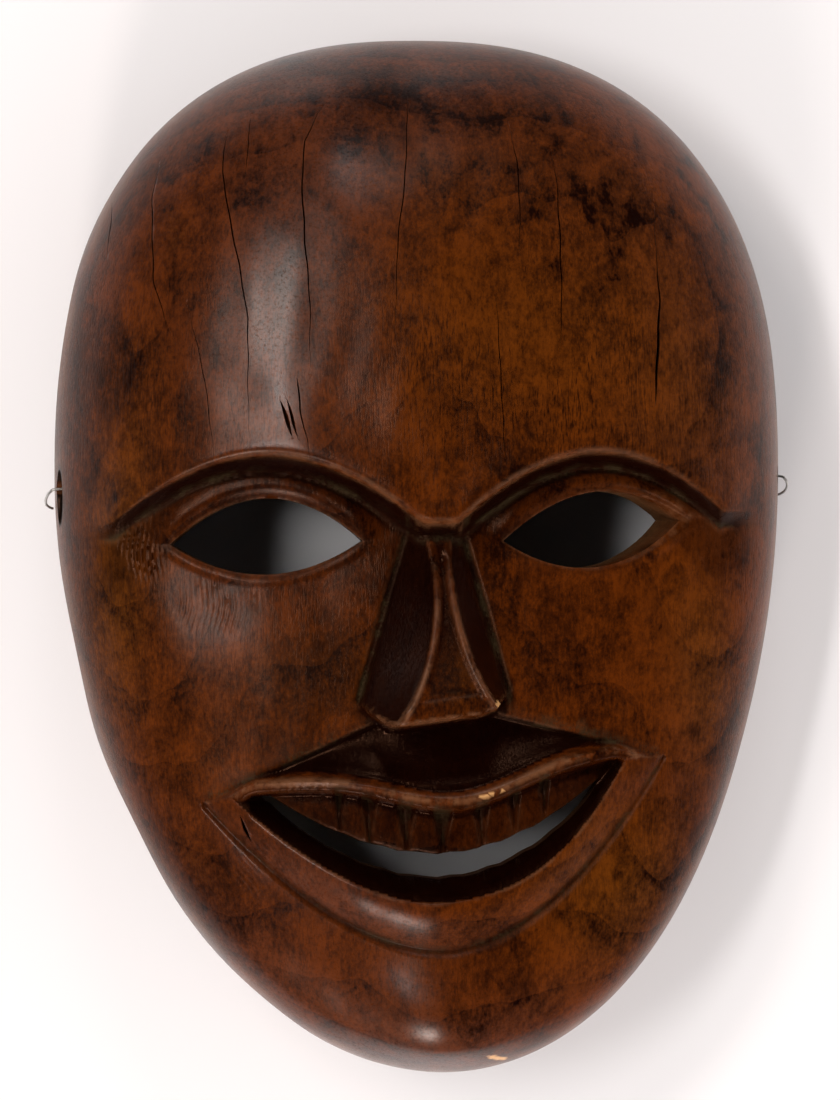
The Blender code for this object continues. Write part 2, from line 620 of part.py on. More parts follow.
def make_mask_body(parts, cutters):
    """The carved wood, sawn flat behind, hollowed and pierced."""
    carved = domed_block(
        "mask_body", CARVED_COLUMNS, CARVED_ROWS, 0.0, -SAW_ALLOWANCE,
        lambda x, y, share: carved_face(x, y))
    body = place("mask_body", carved, parts)
    body.data.materials.append(make_material("carved_wood", WOOD_COLOUR, 0.45, 0.0))
    thin = body.modifiers.new("facet_budget", "DECIMATE")
    thin.ratio = CARVED_SHARE_KEPT

    bpy.ops.mesh.primitive_cube_add(size=1.0)
    saw = bpy.context.object
    saw.name = "saw_cut"
    saw.scale = (2.0 * MASK_WIDTH, 2.0 * MASK_HEIGHT, SAW_SLAB)
    saw.location = (0.0, 0.0, -SAW_SLAB / 2)
    for owner in list(saw.users_collection):
        owner.objects.unlink(saw)
    cutters.objects.link(saw)
    cut_away(body, saw)

    hollow = domed_block(
        "hollow", HOLLOW_COLUMNS, HOLLOW_ROWS, RIM_THICKNESS, -2 * SAW_ALLOWANCE, hollow_form)
    cut_away(body, place("hollow", hollow, cutters))

    for name, eye, length_left in zip(("left_eye", "right_eye"), EYES, EYE_LENGTH_BEHIND):
        mesh = through_cut(name, almond_outline(eye, 1.0), almond_outline(eye, length_left))
        cut_away(body, place(name, mesh, cutters))
    slot = slot_outline()
    cut_away(body, place("mouth_slot", through_cut("mouth_slot", slot, slot), cutters))

    holes = (("left_wire_hole", -1, LEFT_HOLE_Y, LEFT_HOLE_Z),
             ("right_wire_hole", 1, RIGHT_HOLE_Y, RIGHT_HOLE_Z))
    for name, side, y, z in holes:
        shaper = bmesh.new()
        bmesh.ops.create_cone(
            shaper, cap_ends=True, segments=WIRE_HOLE_SIDES, radius1=WIRE_HOLE_DIAMETER / 2,
            radius2=WIRE_HOLE_DIAMETER / 2, depth=4 * RIM_THICKNESS)
        drill = place(name, finished_mesh(name, shaper), cutters)
        drill.rotation_euler = (0.0, math.pi / 2, 0.0)
        drill.location = (side_reach(side, y, z), y, z)
        cut_away(body, drill)
    return body


def make_hanging_wire(parts):
    """One length of thin steel wire, slack across the hollow and hooked over at both ends."""
    curve = bpy.data.curves.new("hanging_wire", "CURVE")
    curve.dimensions = "3D"
    curve.bevel_depth = WIRE_DIAMETER / 2
    curve.bevel_resolution = 2
    curve.use_fill_caps = True
    route = wire_route()
    spline = curve.splines.new("POLY")
    spline.points.add(len(route) - 1)
    for point, place_on_route in zip(spline.points, route):
        point.co = (*place_on_route, 1.0)
    curve.materials.append(make_material("steel_wire", STEEL_COLOUR, 0.3, 1.0))
    return place("hanging_wire", curve, parts)


def main():
    for thing in list(bpy.data.objects):
        bpy.data.objects.remove(thing, do_unlink=True)
    parts = bpy.data.collections.new("Carved mask")
    cutters = bpy.data.collections.new("Cutters")
    bpy.context.scene.collection.children.link(parts)
    bpy.context.scene.collection.children.link(cutters)
    make_mask_body(parts, cutters)
    make_hanging_wire(parts)


main()
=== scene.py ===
"""Looks of a carved wooden face mask that lies on its back rim, with its hanging wire.

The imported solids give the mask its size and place. This script carves the same face
again in a finer mesh, with its tool marks, drying cracks and worn edges, dresses it in
stained and varnished wood, and lights it softly on a pale table. Units are metres.
+Z points out of the face, +Y towards the forehead and +X to the viewer's right.
"""

import logging
import math
from collections.abc import Callable
from dataclasses import dataclass, field
from enum import Enum

import bmesh
import bpy
import numpy as np
from mathutils import Matrix, Vector

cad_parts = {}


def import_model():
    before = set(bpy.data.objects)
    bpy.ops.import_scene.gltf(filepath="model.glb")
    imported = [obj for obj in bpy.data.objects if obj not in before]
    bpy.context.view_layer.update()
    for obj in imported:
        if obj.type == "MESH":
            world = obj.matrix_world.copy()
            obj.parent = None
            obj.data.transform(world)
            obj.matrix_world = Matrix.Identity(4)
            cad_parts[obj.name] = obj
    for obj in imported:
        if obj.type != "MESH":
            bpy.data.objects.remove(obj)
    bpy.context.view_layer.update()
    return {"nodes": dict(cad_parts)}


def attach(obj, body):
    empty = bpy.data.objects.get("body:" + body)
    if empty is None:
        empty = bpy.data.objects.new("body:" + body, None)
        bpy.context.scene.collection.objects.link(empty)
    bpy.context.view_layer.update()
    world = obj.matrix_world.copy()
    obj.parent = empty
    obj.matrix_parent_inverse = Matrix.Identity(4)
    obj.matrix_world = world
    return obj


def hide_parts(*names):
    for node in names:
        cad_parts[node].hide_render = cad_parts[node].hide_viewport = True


LOG = logging.getLogger("carved_mask")
Numbers = np.ndarray
Point = tuple[float, float]
Place = tuple[float, float, float]
Colour = tuple[float, float, float]
Socket = bpy.types.NodeSocket
Sockets = bpy.types.bpy_prop_collection
WARM: Colour = (1.0, 0.90, 0.84)


def smooth_step(start: float, end: float, value: Numbers) -> Numbers:
    """Ease from 0 at start to 1 at end.

    Args:
        start: Value where the run begins.
        end: Value where it ends, which may be the smaller of the two.
        value: Values to read.

    Returns:
        A share from 0 to 1 for each value.
    """
    share = np.clip((value - start) / (end - start), 0.0, 1.0)
    return share * share * (3.0 - 2.0 * share)


def soft_max(first: Numbers, second: Numbers, blend: float) -> Numbers:
    """Take the higher of two surfaces, rounded where they meet.

    Args:
        first: One surface.
        second: The other surface.
        blend: Height over which they are rounded together.

    Returns:
        The joined surface.
    """
    share = np.clip(0.5 + 0.5 * (first - second) / blend, 0.0, 1.0)
    return second + (first - second) * share + blend * share * (1.0 - share)


def bell(distance: Numbers, width: float) -> Numbers:
    """Bell curve that is 1 at no distance and falls to a third at the width."""
    return np.exp(-(distance / width) ** 2)


def strongest(*layers: Numbers) -> Numbers:
    """Highest of several layers at each place."""
    return np.maximum.reduce(layers)


def route_gap(x: Numbers, y: Numbers, route: tuple[Point, ...]) -> Numbers:
    """Measure how far places lie from a drawn line.

    Args:
        x: Places across the mask.
        y: Places up the mask.
        route: Corners of the line.

    Returns:
        The distance to the line.
    """
    nearest = np.full(x.shape, 1.0)
    for start, end in zip(route, route[1:]):
        run_x, run_y = end[0] - start[0], end[1] - start[1]
        along = ((x - start[0]) * run_x + (y - start[1]) * run_y) / (run_x ** 2 + run_y ** 2)
        along = np.clip(along, 0.0, 1.0)
        nearest = np.minimum(nearest, np.hypot(x - start[0] - along * run_x, y - start[1] - along * run_y))
    return nearest


@dataclass(frozen=True)
class Ripple:
    """Gentle unevenness of a surface that was cut by hand and eye.

    Attributes:
        reach: Typical distance from crest to crest across the mask.
        stretch: How many times longer the waves are up the mask than across it.
        seed: Number that picks one pattern.
        waves: How many waves are laid over each other.
    """

    reach: float
    stretch: float = 1.0
    seed: int = 0
    waves: int = 7

    def height(self, x: Numbers, y: Numbers) -> Numbers:
        """Read the ripple at places on the mask, from about -1 to 1."""
        chance = np.random.default_rng(self.seed)
        total = np.zeros(np.shape(x))
        for _ in range(self.waves):
            heading = chance.uniform(0.0, 2.0 * math.pi)
            pitch = 2.0 * math.pi / (self.reach * chance.uniform(0.7, 1.4))
            phase = chance.uniform(0.0, 2.0 * math.pi)
            across = x * math.cos(heading) + y * math.sin(heading) / self.stretch
            wander = 0.8 * np.sin(0.43 * y * pitch / self.stretch)
            total = total + np.sin(across * pitch + phase + wander)
        return total / math.sqrt(2.0 * self.waves)


@dataclass(frozen=True)
class Blank:
    """The blocked-out mask: its sawn outline, its sides and the domes of forehead and cheeks.

    Attributes:
        half_width: Half of the mask's width.
        half_height: Half of the mask's height.
        widest_y: Height up the face of its widest line.
        side_height: Height of the straight sides above the back rim.
        side_taper: How far the sides draw in towards the back rim.
        chin_lean: How far the chin leans to the viewer's right.
        crown_squareness: Power of the outline above the widest line; 2 is an ellipse.
        jaw_squareness: Power of the outline below it.
        forehead_rise: Height of the forehead's dome over the sides.
        cheek_rise: Height of the cheeks' dome over the sides.
        forehead_fullness: Power of the forehead's dome; the higher, the flatter its top.
        cheek_fullness: Power of the cheeks' dome.
        chin_fullness: Power of that dome at the chin.
        facet_depth: Depth of the knife's facets along the outline.
        boss_y: Place of the chin's boss up the face.
        boss_rise: Height of the boss.
        boss_reach: How far the boss reaches.
    """

    half_width: float = 0.0953
    half_height: float = 0.1350
    widest_y: float = 0.02484
    side_height: float = 0.0290
    side_taper: float = 0.0050
    chin_lean: float = 0.0060
    crown_squareness: float = 2.4
    jaw_squareness: float = 2.0
    forehead_rise: float = 0.0620
    cheek_rise: float = 0.0500
    forehead_fullness: float = 2.4
    cheek_fullness: float = 3.2
    chin_fullness: float = 5.2
    facet_depth: float = 0.0009
    boss_y: float = -0.1242
    boss_rise: float = 0.0060
    boss_reach: float = 0.0182

    def lean(self, y: Numbers) -> Numbers:
        """Sideways lean of the jaw at places up the face."""
        return self.chin_lean * np.clip(-y / self.half_height, 0.0, 1.0) ** 2

    def reach(self, above: Numbers) -> tuple[Numbers, Numbers]:
        """Squareness and length of the outline's upper or lower half."""
        squareness = np.where(above, self.crown_squareness, self.jaw_squareness)
        length = np.where(above, self.half_height - self.widest_y, self.half_height + self.widest_y)
        return squareness, length

    def outline_point(self, angle: Numbers) -> tuple[Numbers, Numbers]:
        """Points of the outline at angles about the middle of its widest line."""
        squareness, length = self.reach(np.sin(angle) > 0.0)
        power = 2.0 / squareness
        x = self.half_width * np.sign(np.cos(angle)) * np.abs(np.cos(angle)) ** power
        y = self.widest_y + length * np.sign(np.sin(angle)) * np.abs(np.sin(angle)) ** power
        return x, y

    def share(self, x: Numbers, y: Numbers) -> Numbers:
        """How far places lie out towards the outline, from 0 in the middle to 1 on it."""
        squareness, length = self.reach(y > self.widest_y)
        across = np.abs(x - self.lean(y)) / self.half_width
        along = np.abs(y - self.widest_y) / length
        return (across ** squareness + along ** squareness) ** (1.0 / squareness)

    def side_inset(self, z: Numbers) -> Numbers:
        """How far the sides have drawn in at a height above the back rim."""
        return self.side_taper * np.clip(1.0 - z / self.side_height, 0.0, 1.0) ** 2

    def knife_facets(self, angle: Numbers) -> Numbers:
        """Inward cut of the knife along the outline, in long shallow facets."""
        run = 14.0 * angle + 0.9 * np.sin(3.0 * angle + 1.0) + 0.5 * np.sin(7.0 * angle)
        return self.facet_depth * (0.5 - 0.5 * np.cos(run)) * (0.6 + 0.4 * np.sin(2.0 * angle + 0.6))

    @staticmethod
    def dome(share: Numbers, fullness: Numbers) -> Numbers:
        """Rise of a dome as a share of its full height, 1 in the middle and 0 on the outline."""
        return (1.0 - np.clip(share, 0.0, 1.0) ** fullness) ** (1.0 / fullness)


@dataclass(frozen=True)
class Arch:
    """One brow: its middle across the mask, its crown's height, half its span and its drop."""

    middle: float
    crown: float
    half_span: float
    drop: float


@dataclass(frozen=True)
class Brows:
    """The step from the forehead down to the sockets, along two arches that meet over the nose.

    Attributes:
        blank: The blocked-out mask.
        arches: The left and the right brow.
        bridge_y: Height up the face of the edge between the brows.
        tail_y: Height up the face of the stub past the right brow.
        tail: Where across the mask the edge runs over into that stub.
        underside: Width of the step's sloping underside.
        rounding: How far the step's edge is rounded.
        swell: Height of the soft swell above the edge.
        swell_reach: How far up that swell reaches.
    """

    blank: Blank = Blank()
    arches: tuple[Arch, Arch] = (
        Arch(-0.04098, 0.02538, 0.04098, 0.01836),
        Arch(0.04384, 0.02633, 0.03812, 0.01944),
    )
    bridge_y: float = 0.0081
    tail_y: float = 0.01161
    tail: Point = (0.0667, 0.0800)
    underside: float = 0.0044
    rounding: float = 0.0009
    swell: float = 0.0010
    swell_reach: float = 0.0081

    def line(self, x: Numbers) -> Numbers:
        """Height up the face of the brow's edge."""
        tail = smooth_step(*self.tail, x)
        edge = self.bridge_y + (self.tail_y - self.bridge_y) * tail
        for arch in self.arches:
            run = np.abs((x - arch.middle) / arch.half_span)
            edge = soft_max(edge, arch.crown - arch.drop * run ** 1.9, 0.00135)
        return edge

    def below(self, x: Numbers, y: Numbers) -> Numbers:
        """Distance below the brow's edge, square to it."""
        step = 0.0005
        slope = (self.line(x + step) - self.line(x - step)) / (2 * step)
        return (self.line(x) - y) / np.sqrt(1.0 + slope ** 2)

    def temple(self, x: Numbers, y: Numbers) -> Numbers:
        """Share by which the step has faded out towards the temples."""
        return smooth_step(0.82, 0.95, self.blank.share(x, y))

    def form(self, x: Numbers, y: Numbers) -> Numbers:
        """Height of the blocked-out face, forehead above and cheeks below."""
        blank = self.blank
        share = blank.share(x, y)
        forehead = blank.forehead_rise * blank.dome(share, blank.forehead_fullness)
        to_chin = smooth_step(-0.0405, -0.1215, y)
        fullness = blank.cheek_fullness + (blank.chin_fullness - blank.cheek_fullness) * to_chin
        cheeks = blank.cheek_rise * blank.dome(share, fullness)
        below = self.below(x, y)
        ramp = 0.5 * (below + np.sqrt(below ** 2 + self.rounding ** 2))
        sharp = np.clip(ramp / (self.underside * 1.05), 0.0, 1.0)
        wide = smooth_step(-0.0297, 0.0297, below)
        temple = self.temple(x, y)
        step = sharp + (wide - sharp) * temple
        swell = self.swell * bell(self.line(x) - y, self.swell_reach) * (1.0 - step) * (1.0 - temple)
        from_boss = np.hypot(x - blank.lean(y), y - blank.boss_y)
        boss = blank.boss_rise * bell(from_boss, blank.boss_reach) * smooth_step(1.0, 0.95, share)
        return blank.side_height + forehead + (cheeks - forehead) * step + swell + boss

    def crease(self, x: Numbers, y: Numbers) -> Numbers:
        """Closeness to the crease at the foot of the brow's underside."""
        return bell(self.below(x, y) - self.underside, 0.0009) * (1.0 - self.temple(x, y))


@dataclass(frozen=True)
class Eye:
    """One almond eye: its opening, the hollow about it and its lids.

    Attributes:
        x: Middle of the opening across the mask.
        y: Middle of the opening up the mask.
        half_length: Half of the opening's length.
        rise: Height of its upper edge over the middle.
        drop: Depth of its lower edge under the middle.
        tilt: Slope of its long axis.
        length_behind: Share of the length that is left open at the back of the wall.
        brows: The brows over it.
        socket_depth: Depth of the hollow about it.
        lid_swell: Height of the upper lid's roll.
    """

    x: float
    y: float
    half_length: float
    rise: float
    drop: float
    tilt: float
    length_behind: float
    brows: Brows = Brows()
    socket_depth: float = 0.0030
    lid_swell: float = 0.0016

    def sides(self, x: Numbers) -> tuple[Numbers, Numbers]:
        """Upper and lower edge of the opening."""
        run = np.clip(np.abs(x - self.x) / self.half_length, 0.0, 1.0)
        middle = self.y + self.tilt * (x - self.x)
        return middle + self.rise * (1.0 - run ** 2), middle - self.drop * (1.0 - run ** 2)

    def carving(self, x: Numbers, y: Numbers) -> Numbers:
        """Change of the cheek's height about the eye."""
        below = self.brows.below(x, y)
        upper, lower = self.sides(x)
        run = np.abs(x - self.x) / self.half_length
        inside = smooth_step(1.25, 0.85, run)
        hollow = np.exp(-(run / 1.25) ** 2 - ((y - self.y - 0.00405) / 0.01755) ** 2)
        change = -self.socket_depth * hollow * smooth_step(0.0, self.brows.underside, below)
        above_eye = np.clip(y - upper, 0.0, None)
        past_crease = np.clip(below - self.brows.underside, 0.0, None)
        lid = 4.0 * above_eye * past_crease / (above_eye + past_crease + 1e-6) ** 2
        change = change + self.lid_swell * lid * inside
        rim = bell(np.clip(lower - y, 0.0, None) - 0.0015, 0.0014) * (y < lower)
        return change + 0.3 * self.lid_swell * rim * inside

    def rim_distance(self, x: Numbers, y: Numbers) -> Numbers:
        """Distance outside the opening's edge."""
        upper, lower = self.sides(x)
        beyond = np.clip(np.abs(x - self.x) - self.half_length, 0.0, None)
        return np.hypot(np.maximum(np.maximum(y - upper, lower - y), 0.0), beyond)

    def outline(self, length_left: float, steps: int = 28) -> list[Point]:
        """Points round the opening, its outer end drawn in to leave a share of its length."""
        run = np.sin(0.5 * math.pi * np.linspace(-1.0, 1.0, steps + 1))
        x = self.x + self.half_length * run
        upper, lower = self.sides(x)
        inner = self.x - math.copysign(self.half_length, self.x)
        drawn = inner + (x - inner) * length_left
        return list(zip(drawn, upper)) + list(zip(drawn, lower))[-2:0:-1]


@dataclass(frozen=True)
class Nose:
    """A wedge nose whose front strip flares to the tip and whose sides slope to the cheeks.

    Attributes:
        top_y: Height up the face of its root.
        waist_y: Height of the front strip's narrowest place.
        base_y: Height of the tip's lower edge.
        base_tilt: Slope of that edge.
        left_wing_x: Where the edge starts to curve up on the left.
        right_wing_x: Where it starts to curve up on the right.
        wing_curve: How strongly it curves up.
        front_top_x: Middle of the front strip at the root.
        front_tip_x: Middle of the front strip at the tip.
        front_waist: Half width of the front strip at its waist.
        front_flare: How much that grows to the tip.
        foot_x: Middle of the nose where it meets the cheeks.
        foot_top: Half width there at the root.
        foot_flare: How much that grows to the tip.
        root_height: Height of the front strip at the root, over the back rim.
        tip_height: Height of the front strip at the tip.
        base_slope: Length over which the tip falls away below its edge.
        blend: Height over which nose and cheeks are rounded together.
        crease_depth: Depth of the crease round the nose's foot.
        ridge_rise: Height of the front strip's raised edges.
        tip_facet: Length of the facet at the tip.
        scores: Cuts above that facet: distance from it, width, depth and fade from the sides.
        shade_strength: Darkness of the painted shade in the front strip's hollow.
    """

    top_y: float = 0.0054
    waist_y: float = -0.00297
    base_y: float = -0.04118
    base_tilt: float = 0.14
    left_wing_x: float = -0.0060
    right_wing_x: float = 0.0120
    wing_curve: float = 50.4
    front_top_x: float = 0.00229
    front_tip_x: float = 0.00572
    front_waist: float = 0.0021
    front_flare: float = 0.01029
    foot_x: float = 0.0020
    foot_top: float = 0.00734
    foot_flare: float = 0.01334
    root_height: float = 0.0815
    tip_height: float = 0.0990
    base_slope: float = 0.0020
    blend: float = 0.0004
    crease_depth: float = 0.0009
    ridge_rise: float = 0.0010
    tip_facet: float = 0.0050
    scores: tuple[tuple[float, float, float, float], ...] = (
        (0.0006, 0.0004, 0.00035, 0.002),
        (0.0019, 0.0003, 0.00020, 0.003),
    )
    shade_strength: float = 0.88

    def run(self, y: Numbers, end: float = 1.0) -> Numbers:
        """Share of the way down the nose, held between 0 and an end."""
        return np.clip((self.top_y - y) / (self.top_y - self.base_y), 0.0, end)

    def past_foot(self, x: Numbers, y: Numbers) -> Numbers:
        """Distance sideways past the foot of the nose's sides."""
        return np.abs(x - self.foot_x) - (self.foot_top + self.foot_flare * self.run(y))

    def over_tip(self, x: Numbers, y: Numbers) -> Numbers:
        """Distance up the face from the tip's lower edge."""
        return y - self.tip_line(x)

    def strip(self, x: Numbers, y: Numbers) -> tuple[Numbers, Numbers, Numbers]:
        """Run down the nose, and the front strip's middle line and half width there."""
        run = self.run(y, 1.15)
        past_waist = np.clip((self.waist_y - y) / (self.waist_y - self.base_y), 0.0, 1.15)
        middle = self.front_top_x + (self.front_tip_x - self.front_top_x) * run ** 0.6
        root = np.clip((y - self.waist_y) / (self.top_y - self.waist_y), 0.0, 1.0)
        half = self.front_waist * (1.0 + 0.5 * root) + self.front_flare * past_waist ** 2.3
        return run, middle, half

    def tip_line(self, x: Numbers) -> Numbers:
        """Height up the face of the tip's lower edge."""
        left = np.clip(self.left_wing_x - x, 0.0, None)
        right = np.clip(x - self.right_wing_x, 0.0, None)
        wings = self.wing_curve * (left ** 2 + right ** 2)
        return self.base_y + self.base_tilt * (x - self.front_tip_x) + wings

    def flank(self, x: Numbers, y: Numbers, cheeks: Numbers) -> tuple[Numbers, Numbers, Numbers]:
        """Rise over the cheeks, share of the way down the side, and run past the tip's edge."""
        run, middle, half = self.strip(x, y)
        foot = self.foot_top + self.foot_flare * run
        front = self.root_height + (self.tip_height - self.root_height) * run
        rise = np.maximum(front - cheeks, 0.0) * smooth_step(0.0405, 0.02025, y)
        side = np.sign(x - middle)
        beyond = np.abs(x - middle) - half
        slope_run = foot - half + side * (self.foot_x - middle)
        slope = np.clip(beyond / np.maximum(slope_run, 0.001), -1.0, 1.3)
        flank = rise * (1.0 - soft_max(slope, np.zeros_like(slope), 0.10))
        past_base = -self.over_tip(x, y) / self.base_slope
        flank = flank - (self.tip_height - self.root_height) * np.clip(past_base, 0.0, 3.0)
        return flank, slope, past_base

    def marks(self, x: Numbers, y: Numbers) -> Numbers:
        """Fine cuts on the front strip: raised edges, a stop at the root and a facet at the tip."""
        run, middle, half = self.strip(x, y)
        inward = np.clip(half - np.abs(x - middle), 0.0, None)
        on_strip = smooth_step(-0.0004, 0.0003, half - np.abs(x - middle))
        groove = self.ridge_rise * smooth_step(0.0, 0.0024, inward) * smooth_step(0.05, 0.22, run)
        notch = 0.0009 * bell(y + 0.0018, 0.0012) * bell(x - middle, 0.0012)
        to_tip = self.over_tip(x, y)
        facet = 0.0014 * smooth_step(self.tip_facet, 0.0, to_tip)
        scored = sum(depth * bell(to_tip - self.tip_facet - off, width) * smooth_step(0.0, fade, inward)
                     for off, width, depth, fade in self.scores)
        return -(groove + notch + facet + scored) * on_strip

    def shade(self, x: Numbers, y: Numbers) -> Numbers:
        """Painted shade in the hollow of the front strip, fading out towards the tip."""
        run, middle, half = self.strip(x, y)
        inward = np.clip(half - np.abs(x - middle), 0.0, None)
        in_strip = smooth_step(0.0004, 0.0022, inward) * smooth_step(0.95, 0.50, run)
        return self.shade_strength * in_strip * self.covers(x, y)

    def edge(self, x: Numbers, y: Numbers) -> Numbers:
        """Painted highlight along the two long edges of the front strip, stronger on the left, laid on as
        rubbed wood.
        """
        run, middle, half = self.strip(x, y)
        left = bell(x - middle + half - 0.0005, 0.00055) * smooth_step(0.20, 0.55, run)
        right = 0.45 * bell(x - middle - half + 0.0006, 0.0005) * smooth_step(0.05, 0.30, run)
        return np.maximum(left, right) * self.covers(x, y)

    def form(self, x: Numbers, y: Numbers, ground: Numbers, cheeks: Numbers) -> Numbers:
        """Height of the face with the nose raised from it."""
        flank, slope, past_base = self.flank(x, y, cheeks)
        nose = cheeks + flank - 2 * self.blend + self.marks(x, y)
        crease = bell(flank, 0.0012) * smooth_step(0.0, 0.003, flank + 0.01 * (1.0 - np.abs(slope)) + 0.003)
        crease = crease * (np.abs(slope) < 1.2) * (past_base < 1.0) * smooth_step(0.010, 0.002, y)
        return soft_max(nose, ground, self.blend) - self.crease_depth * crease

    def on_sides(self, x: Numbers, y: Numbers) -> Numbers:
        """Share by which places lie on the sloping sides of the nose."""
        _, middle, half = self.strip(x, y)
        inside = smooth_step(0.0005, -0.0006, self.past_foot(x, y))
        along = smooth_step(0.009, 0.004, y) * smooth_step(-0.0015, 0.0005, self.over_tip(x, y))
        return smooth_step(0.0, 0.0006, np.abs(x - middle) - half) * inside * along

    def covers(self, x: Numbers, y: Numbers) -> Numbers:
        """Share by which the nose stands over a place."""
        beside = smooth_step(0.0006, -0.0004, self.past_foot(x, y))
        return beside * smooth_step(-0.0012, -0.0002, self.over_tip(x, y)) * smooth_step(0.0075, 0.0050, y)

    def foot_crease(self, x: Numbers, y: Numbers) -> Numbers:
        """Closeness to the creases where the nose's sides meet the cheeks."""
        along = smooth_step(0.012, 0.006, y) * smooth_step(-0.004, 0.001, self.over_tip(x, y))
        return bell(self.past_foot(x, y), 0.0008) * along


@dataclass(frozen=True)
class Mouth:
    """The grin: two lips, a row of teeth and the pocket behind, in a frame that is turned.

    Lengths along the lips run from the middle of that frame; depths hang down from its corners.

    Attributes:
        x: Middle of the mouth across the mask.
        y: Height up the face of its corners.
        turn: How far it is turned, in radians.
        half_length: Half of the distance from corner to corner.
        leaf_slope: Slope of the upper lip's upper edge.
        peak: Height of the upper lip's rim at its ends.
        dip: Depth of the rim's one dip.
        dip_x: Place of the dip along the lips.
        dip_reach: How far the dip reaches.
        lip_half_length: Half length of the rim.
        grin_depth: Depth of the lower lip's upper edge.
        grin_half_length: Half length of that edge.
        grin_x: Its middle along the lips.
        lower_depth: Depth of the lower lip's lower edge.
        teeth_depth: Depth of the teeth's lower ends.
        teeth_half_length: Half length of the row of teeth.
        teeth_x: Its middle along the lips.
        slot_height: Height of the slot that is cut right through.
        slot_half_length: Half length of the slot.
        crease_depth: Depth of the crease round the lips.
        crease_width: Width of that crease.
        step: Depth of the cut along the upper lip's upper edge.
        rise: Height of the upper lip's rim.
        rim: Width of the rim down to the teeth.
        undercut: Width of the steep cuts.
        teeth_recess: How far the teeth lie behind the rim.
        notch_depth: Depth of the cuts between the teeth.
        pocket_depth: Depth of the pocket behind the teeth.
        lower_rise: Height of the lower lip.
        notches: Places of the cuts between the teeth, along the lips.
        notch_widths: Width of each cut at its wide end.
    """

    x: float = 0.00238
    y: float = -0.05724
    turn: float = math.radians(5.7)
    half_length: float = 0.05956
    leaf_slope: float = 0.36
    peak: float = 0.00378
    dip: float = 0.00905
    dip_x: float = 0.00477
    dip_reach: float = 0.02287
    lip_half_length: float = 0.05623
    grin_depth: float = 0.03146
    grin_half_length: float = 0.05051
    grin_x: float = -0.00152
    lower_depth: float = 0.04401
    teeth_depth: float = 0.01904
    teeth_half_length: float = 0.04479
    teeth_x: float = 0.00248
    slot_height: float = 0.00675
    slot_half_length: float = 0.04289
    crease_depth: float = 0.0008
    crease_width: float = 0.0025
    step: float = 0.0016
    rise: float = 0.0070
    rim: float = 0.0024
    undercut: float = 0.0016
    teeth_recess: float = 0.0055
    notch_depth: float = 0.0024
    pocket_depth: float = 0.0070
    lower_rise: float = 0.0050
    notches: tuple[float, ...] = (-0.0250, -0.0177, -0.0086, 0.0006, 0.0107, 0.0194, 0.0275)
    notch_widths: tuple[float, ...] = (0.0022, 0.0038, 0.0046, 0.0052, 0.0042, 0.0036, 0.0030)

    def place(self, x: Numbers, y: Numbers) -> tuple[Numbers, Numbers]:
        """Places in the mouth's own frame: along the lips, and up from its corners."""
        cos, sin = math.cos(self.turn), math.sin(self.turn)
        return (x - self.x) * cos + (y - self.y) * sin, -(x - self.x) * sin + (y - self.y) * cos

    @staticmethod
    def arc(depth: float, half_length: float, power: Numbers, along: Numbers) -> Numbers:
        """A hanging arc: minus its depth in the middle and 0 at its ends."""
        return -depth * (1.0 - np.clip(np.abs(along) / half_length, 0.0, 1.0) ** power)

    def teeth_line(self, along: Numbers) -> Numbers:
        """Lower ends of the teeth, a little uneven from tooth to tooth."""
        even = self.arc(self.teeth_depth, self.teeth_half_length, 1.9, along - self.teeth_x)
        return even + 0.00025 * np.sin(along * 700.0) * smooth_step(0.035, 0.025, np.abs(along))

    def leaf_top(self, along: Numbers) -> Numbers:
        """Upper edge of the upper lip."""
        return self.leaf_slope * (self.half_length - np.abs(along))

    def ridge(self, along: Numbers) -> Numbers:
        """Rim of the upper lip, a bow with one dip."""
        sag = self.dip * bell(along - self.dip_x, self.dip_reach)
        ends = smooth_step(0.80, 1.0, np.abs(along) / self.lip_half_length)
        return (self.peak - sag) * (1.0 - ends)

    def grin(self, along: Numbers) -> Numbers:
        """Upper edge of the lower lip, fuller on the right."""
        shifted = along - self.grin_x
        return self.arc(self.grin_depth, self.grin_half_length, np.where(shifted < 0.0, 1.75, 2.4), shifted)

    def lip_foot(self, along: Numbers) -> Numbers:
        """Lower edge of the lower lip."""
        return self.arc(self.lower_depth, self.half_length, 1.85, along)

    def notch_cut(self, along: Numbers, up: Numbers) -> Numbers:
        """Depth of the wedge-shaped cuts between the teeth."""
        foot = self.ridge(along) - self.rim
        edge = self.teeth_line(along)
        bite = np.clip((up - edge) / np.maximum(foot - edge, 0.001), 0.0, 1.0)
        cut = np.zeros_like(along)
        for notch, width in zip(self.notches, self.notch_widths):
            half = 0.5 * width * (0.12 + 0.88 * bite) + 1e-6
            offset = (along - notch + 0.0006 * (1.0 - bite)) / half
            groove = np.clip(1.0 - np.abs(offset - 0.25 * np.clip(offset, -1.0, 1.0)), 0.0, 1.0)
            cut = np.maximum(cut, self.notch_depth * groove * (0.35 + 0.65 * bite))
        return cut

    def notched(self, along: Numbers, up: Numbers) -> Numbers:
        """Share by which places lie in the cuts between the teeth."""
        return smooth_step(0.0004, 0.0012, self.notch_cut(along, up))

    def form(self, x: Numbers, y: Numbers, ground: Numbers) -> Numbers:
        """Height of the face with the mouth carved in it."""
        along, up = self.place(x, y)
        tip = np.abs(along) / self.half_length
        leaf_top, ridge = self.leaf_top(along), self.ridge(along)
        rim_foot = ridge - self.rim
        grin, lip_foot = self.grin(along), self.lip_foot(along)
        swell = np.clip(1.0 - tip ** 2, 0.0, 1.0)

